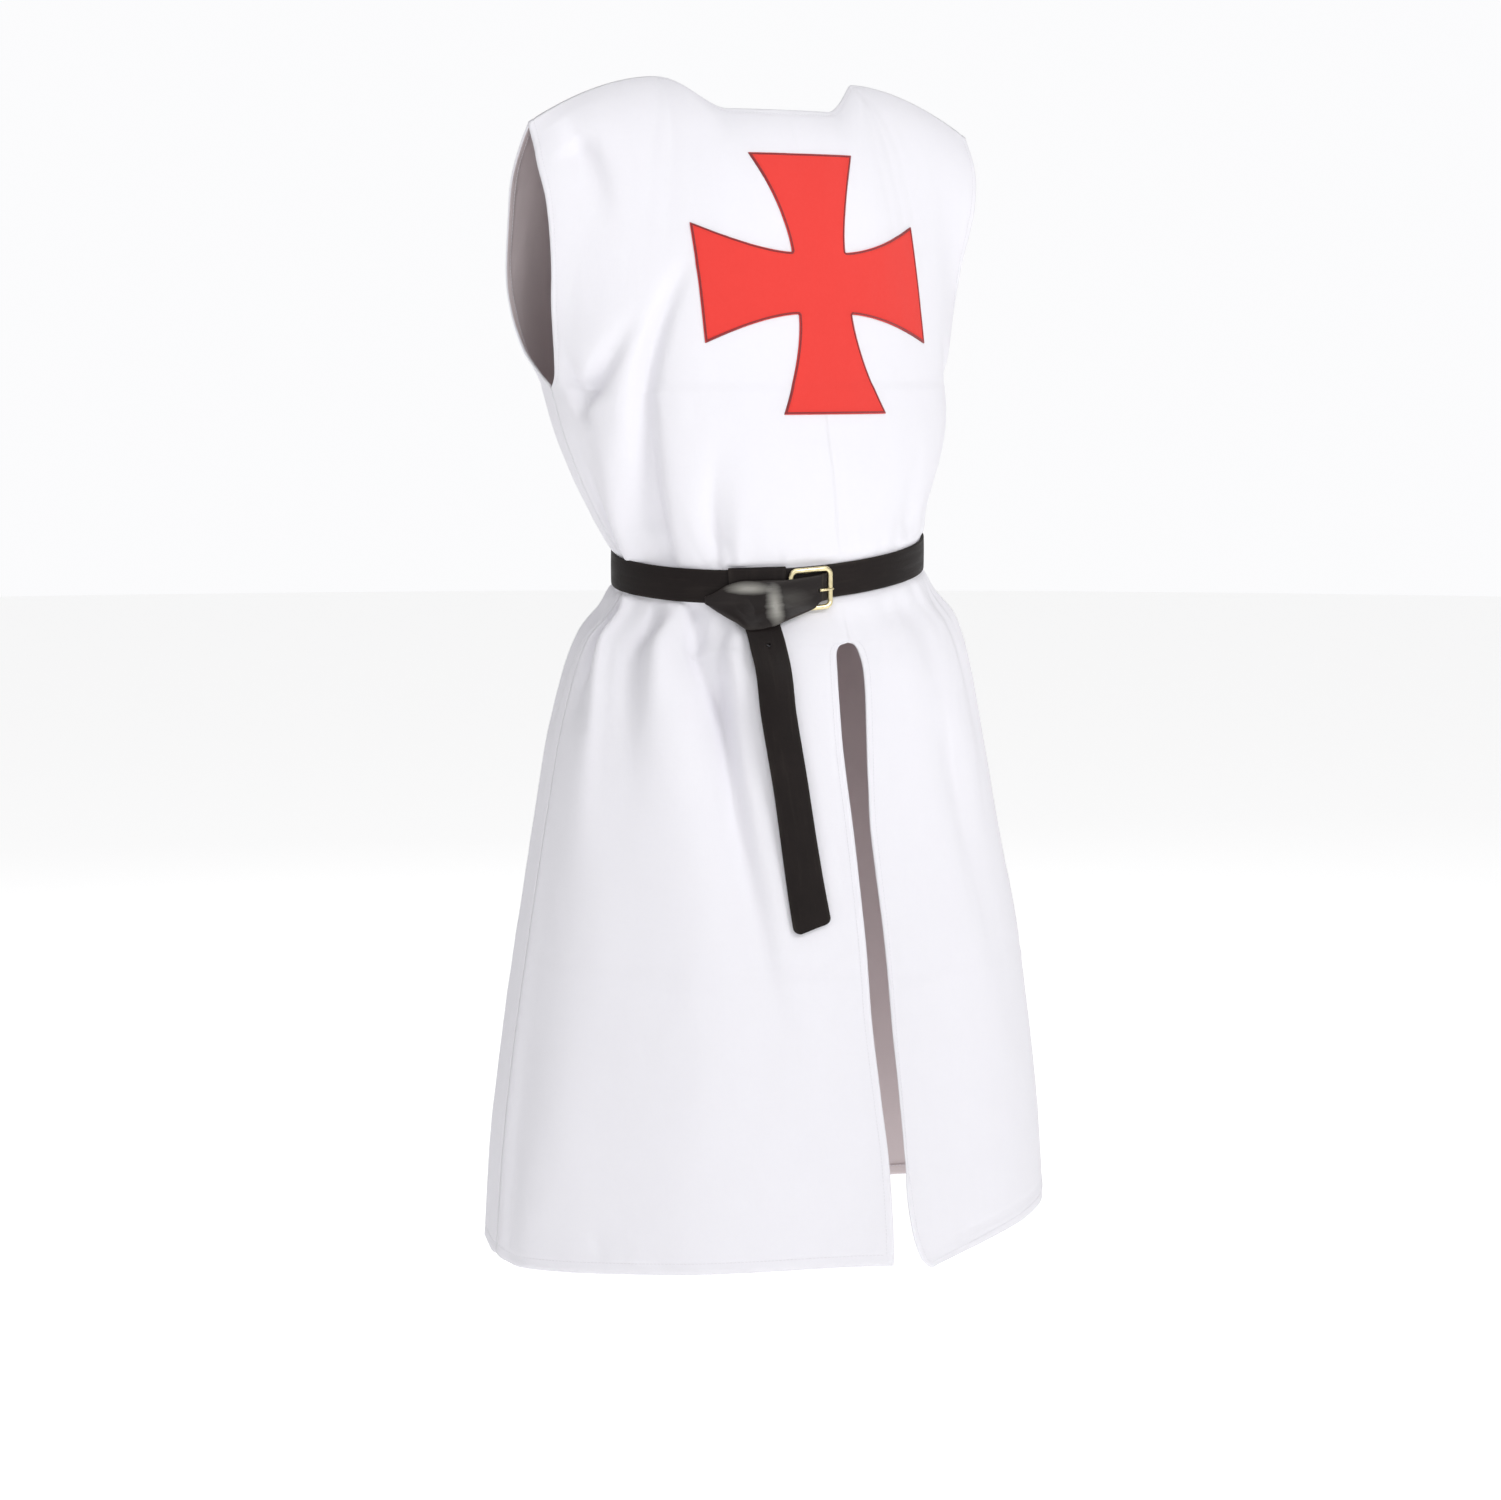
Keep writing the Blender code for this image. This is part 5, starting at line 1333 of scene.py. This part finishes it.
def leather_material(name, painted_highlights=(), gloss=0.0, specular=0.15):
    """Smooth-faced dark strap leather with fine grain, pores, creases and painted highlights, paler colour
    where light falls.
    """
    n = Nodes(name)
    flat, parts = n.weave()
    grain = n.add("ShaderNodeTexVoronoi", {"Vector": n.place, "Scale": 620.0}, feature="F1").outputs[0]
    pores = n.noise(n.place, 950.0, 3.0)
    clouds = n.noise(n.place, 26.0, 4.0, 0.6)
    streaks = n.noise(n.stretched(flat, (14.0, 150.0, 1.0)), 1.0, 4.0, 0.6)
    edge = n.between(n.math("ABSOLUTE", parts[1]), BELT_WIDTH / 2 - 0.0030, BELT_WIDTH / 2 + 0.0004)
    worn = n.math("MULTIPLY", edge, n.between(clouds, 0.35, 0.65, 0.10, 0.55))
    worn = n.math("ADD", worn, n.between(streaks, 0.52, 0.80, 0.0, 0.25))
    base = n.mix(n.between(clouds, 0.3, 0.7, 0.0, 0.6), rgb(LEATHER_DARK), rgb(LEATHER_DARK, 1.7))
    base = n.mix(worn, base, rgb(LEATHER_WORN))
    # Each painted highlight mixes in paler colour where light falls on the knot
    for spot in painted_highlights:
        point, _ = front_at(np.array([spot.x]), np.array([BELT + spot.height]))
        scale = np.array([1 / spot.half_width, 0.0, 1 / spot.half_height])
        away = n.add("ShaderNodeVectorMath", {0: n.stretched(n.place, scale), 1: point[0] * scale},
                     operation="DISTANCE").outputs[1]
        away = n.math("MULTIPLY_ADD", streaks, 0.9, n.math("ADD", away, -0.45))
        base = n.mix(n.between(away, 0.2, 1.2, spot.share, 0.0), base, rgb(LEATHER_PAINTED_HIGHLIGHT))
    n.set("Base Color", base)
    n.set("Roughness", n.between(streaks, 0.3, 0.7, 0.46 - gloss, 0.62 - gloss))
    n.set("Specular IOR Level", specular)
    height = n.math("MULTIPLY_ADD", grain, 0.8, n.math("MULTIPLY", pores, 0.5))
    fine = n.bump(height, 0.00022, 0.5)
    n.set("Normal", n.bump(streaks, 0.0009, 0.35, fine))
    return n.material


def brass_material(name):
    n = Nodes(name)
    dull = n.noise(n.place, 160.0, 4.0, 0.6)
    scratch = n.noise(n.stretched(n.place, (900.0, 900.0, 140.0)), 1.0, 3.0)
    n.set("Base Color", n.mix(n.between(dull, 0.42, 0.72, 0.0, 0.45), rgb(BRASS), rgb(BRASS_DULL)))
    n.set("Metallic", 1.0)
    n.set("Roughness", n.between(dull, 0.3, 0.7, 0.22, 0.40))
    n.set("Normal", n.bump(scratch, 0.00005, 0.35))
    return n.material


def stage_material(name, value, glow):
    """Matt pale floor with a strong glow of its own, like a light table."""
    n = Nodes(name)
    faint = n.between(n.noise(n.place, 1.3, 2.0), 0.3, 0.7, 0.0, 0.25)
    n.set("Base Color", n.mix(faint, rgb((value,) * 3), rgb((value,) * 3, 0.985)))
    n.set("Roughness", 0.9)
    n.set("Emission Color", (1.0, 1.0, 1.0, 1.0))
    n.set("Emission Strength", glow)
    return n.material


# ---------------------------------------------------------------- camera, light, floor
CAMERA_AZIMUTH, CAMERA_ELEVATION = math.radians(-31), math.radians(6.3)
CAMERA_DISTANCE, CAMERA_HEIGHT, CAMERA_SIDE = 3.6, -0.661, 0.0145
PHOTO_WIDTH, FOCAL_PIXELS, SENSOR = 1501, 3600, 36.0
FLOOR_HEIGHT, FLOOR_RADIUS, FLOOR_WHITE, FLOOR_GLOW = -1.42, 14.0, 0.90, 0.68


def towards(azimuth, elevation):
    """The direction from the garment at these angles, in radians, with 0 straight ahead of it."""
    level = math.cos(elevation)
    return Vector((math.sin(azimuth) * level, -math.cos(azimuth) * level, math.sin(elevation)))


def in_scene(name, data):
    obj = bpy.data.objects.new(name, data)
    bpy.context.scene.collection.objects.link(obj)
    return obj


def add_camera():
    back = towards(CAMERA_AZIMUTH, CAMERA_ELEVATION)
    right = Vector((math.cos(CAMERA_AZIMUTH), math.sin(CAMERA_AZIMUTH), 0))
    place = Matrix((right, back.cross(right), back)).transposed().to_4x4()
    place.translation = Vector((0, 0, CAMERA_HEIGHT)) + back * CAMERA_DISTANCE - right * CAMERA_SIDE
    camera = bpy.data.cameras.new("camera")
    camera.sensor_width = SENSOR
    camera.lens = FOCAL_PIXELS * SENSOR / PHOTO_WIDTH
    obj = in_scene("camera", camera)
    obj.matrix_world = place
    bpy.context.scene.camera = obj


Lamp = namedtuple("Lamp", "name azimuth elevation distance size energy")
LAMPS = [
    Lamp("key", 13, 31, 3.6, 1.3, 43),
    Lamp("front", -33, 37, 3.6, 1.8, 19.5),
    Lamp("top", -20, 78, 3.0, 1.6, 13),
    Lamp("back", 160, 35, 3.6, 2.0, 26),
]
LAMPS_FACE = Vector((0, 0, -0.55))
# The studio is brightest at the horizon and dimmer above
WORLD_HORIZON, WORLD_TOP, WORLD_FROM, WORLD_TO = 0.98, 0.24, 0.10, 0.25
WORLD_COLOUR = (0.990, 0.990, 1.0, 1.0)


def add_lights():
    world = bpy.data.worlds.new("studio")
    world.use_nodes = True
    nodes, links = world.node_tree.nodes, world.node_tree.links
    place = nodes.new("ShaderNodeTexCoord")
    parts = nodes.new("ShaderNodeSeparateXYZ")
    links.new(place.outputs["Generated"], parts.inputs[0])
    ramp = nodes.new("ShaderNodeMapRange")
    for socket, value in zip(list(ramp.inputs)[1:5], (WORLD_FROM, WORLD_TO, WORLD_HORIZON, WORLD_TOP)):
        socket.default_value = value
    links.new(parts.outputs[2], ramp.inputs[0])
    back = nodes["Background"].inputs
    back[0].default_value = WORLD_COLOUR
    links.new(ramp.outputs[0], back[1])
    bpy.context.scene.world = world
    for lamp in LAMPS:
        light = bpy.data.lights.new(lamp.name, "AREA")
        light.size, light.energy = lamp.size, lamp.energy
        obj = in_scene(lamp.name, light)
        away = towards(math.radians(lamp.azimuth), math.radians(lamp.elevation))
        obj.location = LAMPS_FACE + away * lamp.distance
        obj.rotation_euler = away.to_track_quat("Z", "Y").to_euler()


def add_floor():
    mesh = bmesh.new()
    bmesh.ops.create_circle(mesh, cap_ends=True, segments=96, radius=FLOOR_RADIUS)
    data = bpy.data.meshes.new("floor")
    mesh.to_mesh(data)
    mesh.free()
    floor = in_scene("floor", data)
    floor.location.z = FLOOR_HEIGHT
    data.materials.append(stage_material("pale_floor", FLOOR_WHITE, FLOOR_GLOW))


# ---------------------------------------------------------------- the pieces
def place_piece(obj, material, nodes):
    obj.data.materials.append(material)
    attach(obj, "root")
    if nodes:
        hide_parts(*nodes)


outside_cloth = cloth_material("white_cotton", WHITE_CLOTH)
# The inner faces' copy of the cotton is darker: painted shade of the inside
painted_shade_cotton = cloth_material("cotton_inside", INSIDE_PAINTED_SHADE, shade=0.10)
white_thread = thread_material("white_thread", WHITE_CLOTH, 0.0009)
panels = {}
for side, name, node in ((FRONT, "front_cloth", "front_panel"), (BACK, "back_cloth", "back_panel")):
    panel, area, halves = build_panel(name, side)
    place_piece(panel, outside_cloth, [node])
    panel.data.materials.append(painted_shade_cotton)
    sewing = sew_panel(name.replace("cloth", "stitching"), halves)
    place_piece(sewing, white_thread, [])
    panels[side] = panel

chest = Chest(panels[FRONT])
cross, cross_area = build_cross(chest)
place_piece(cross, cloth_material("red_cotton", RED_CLOTH, shade=0.10), ["cross_applique"])
edging = build_cross_edge(chest)
place_piece(edging, thread_material("red_thread", DARK_RED, 0.00055), [])

place_piece(build_belt(), leather_material("strap_leather"), ["belt_strap"])
knot_leather = leather_material("knot_leather", KNOT_PAINTED_HIGHLIGHTS, KNOT_GLOSS, KNOT_SPECULAR)
place_piece(build_knot(), knot_leather, ["belt_wrap"])
place_piece(build_tail(), leather_material("end_leather"), ["belt_tail"])
brass = brass_material("pale_brass")
place_piece(build_frame(), brass, ["buckle_frame"])
place_piece(build_prong(), brass, ["buckle_prong"])

add_floor()
add_lights()
add_camera()
bpy.context.scene.view_settings.view_transform = "Standard"
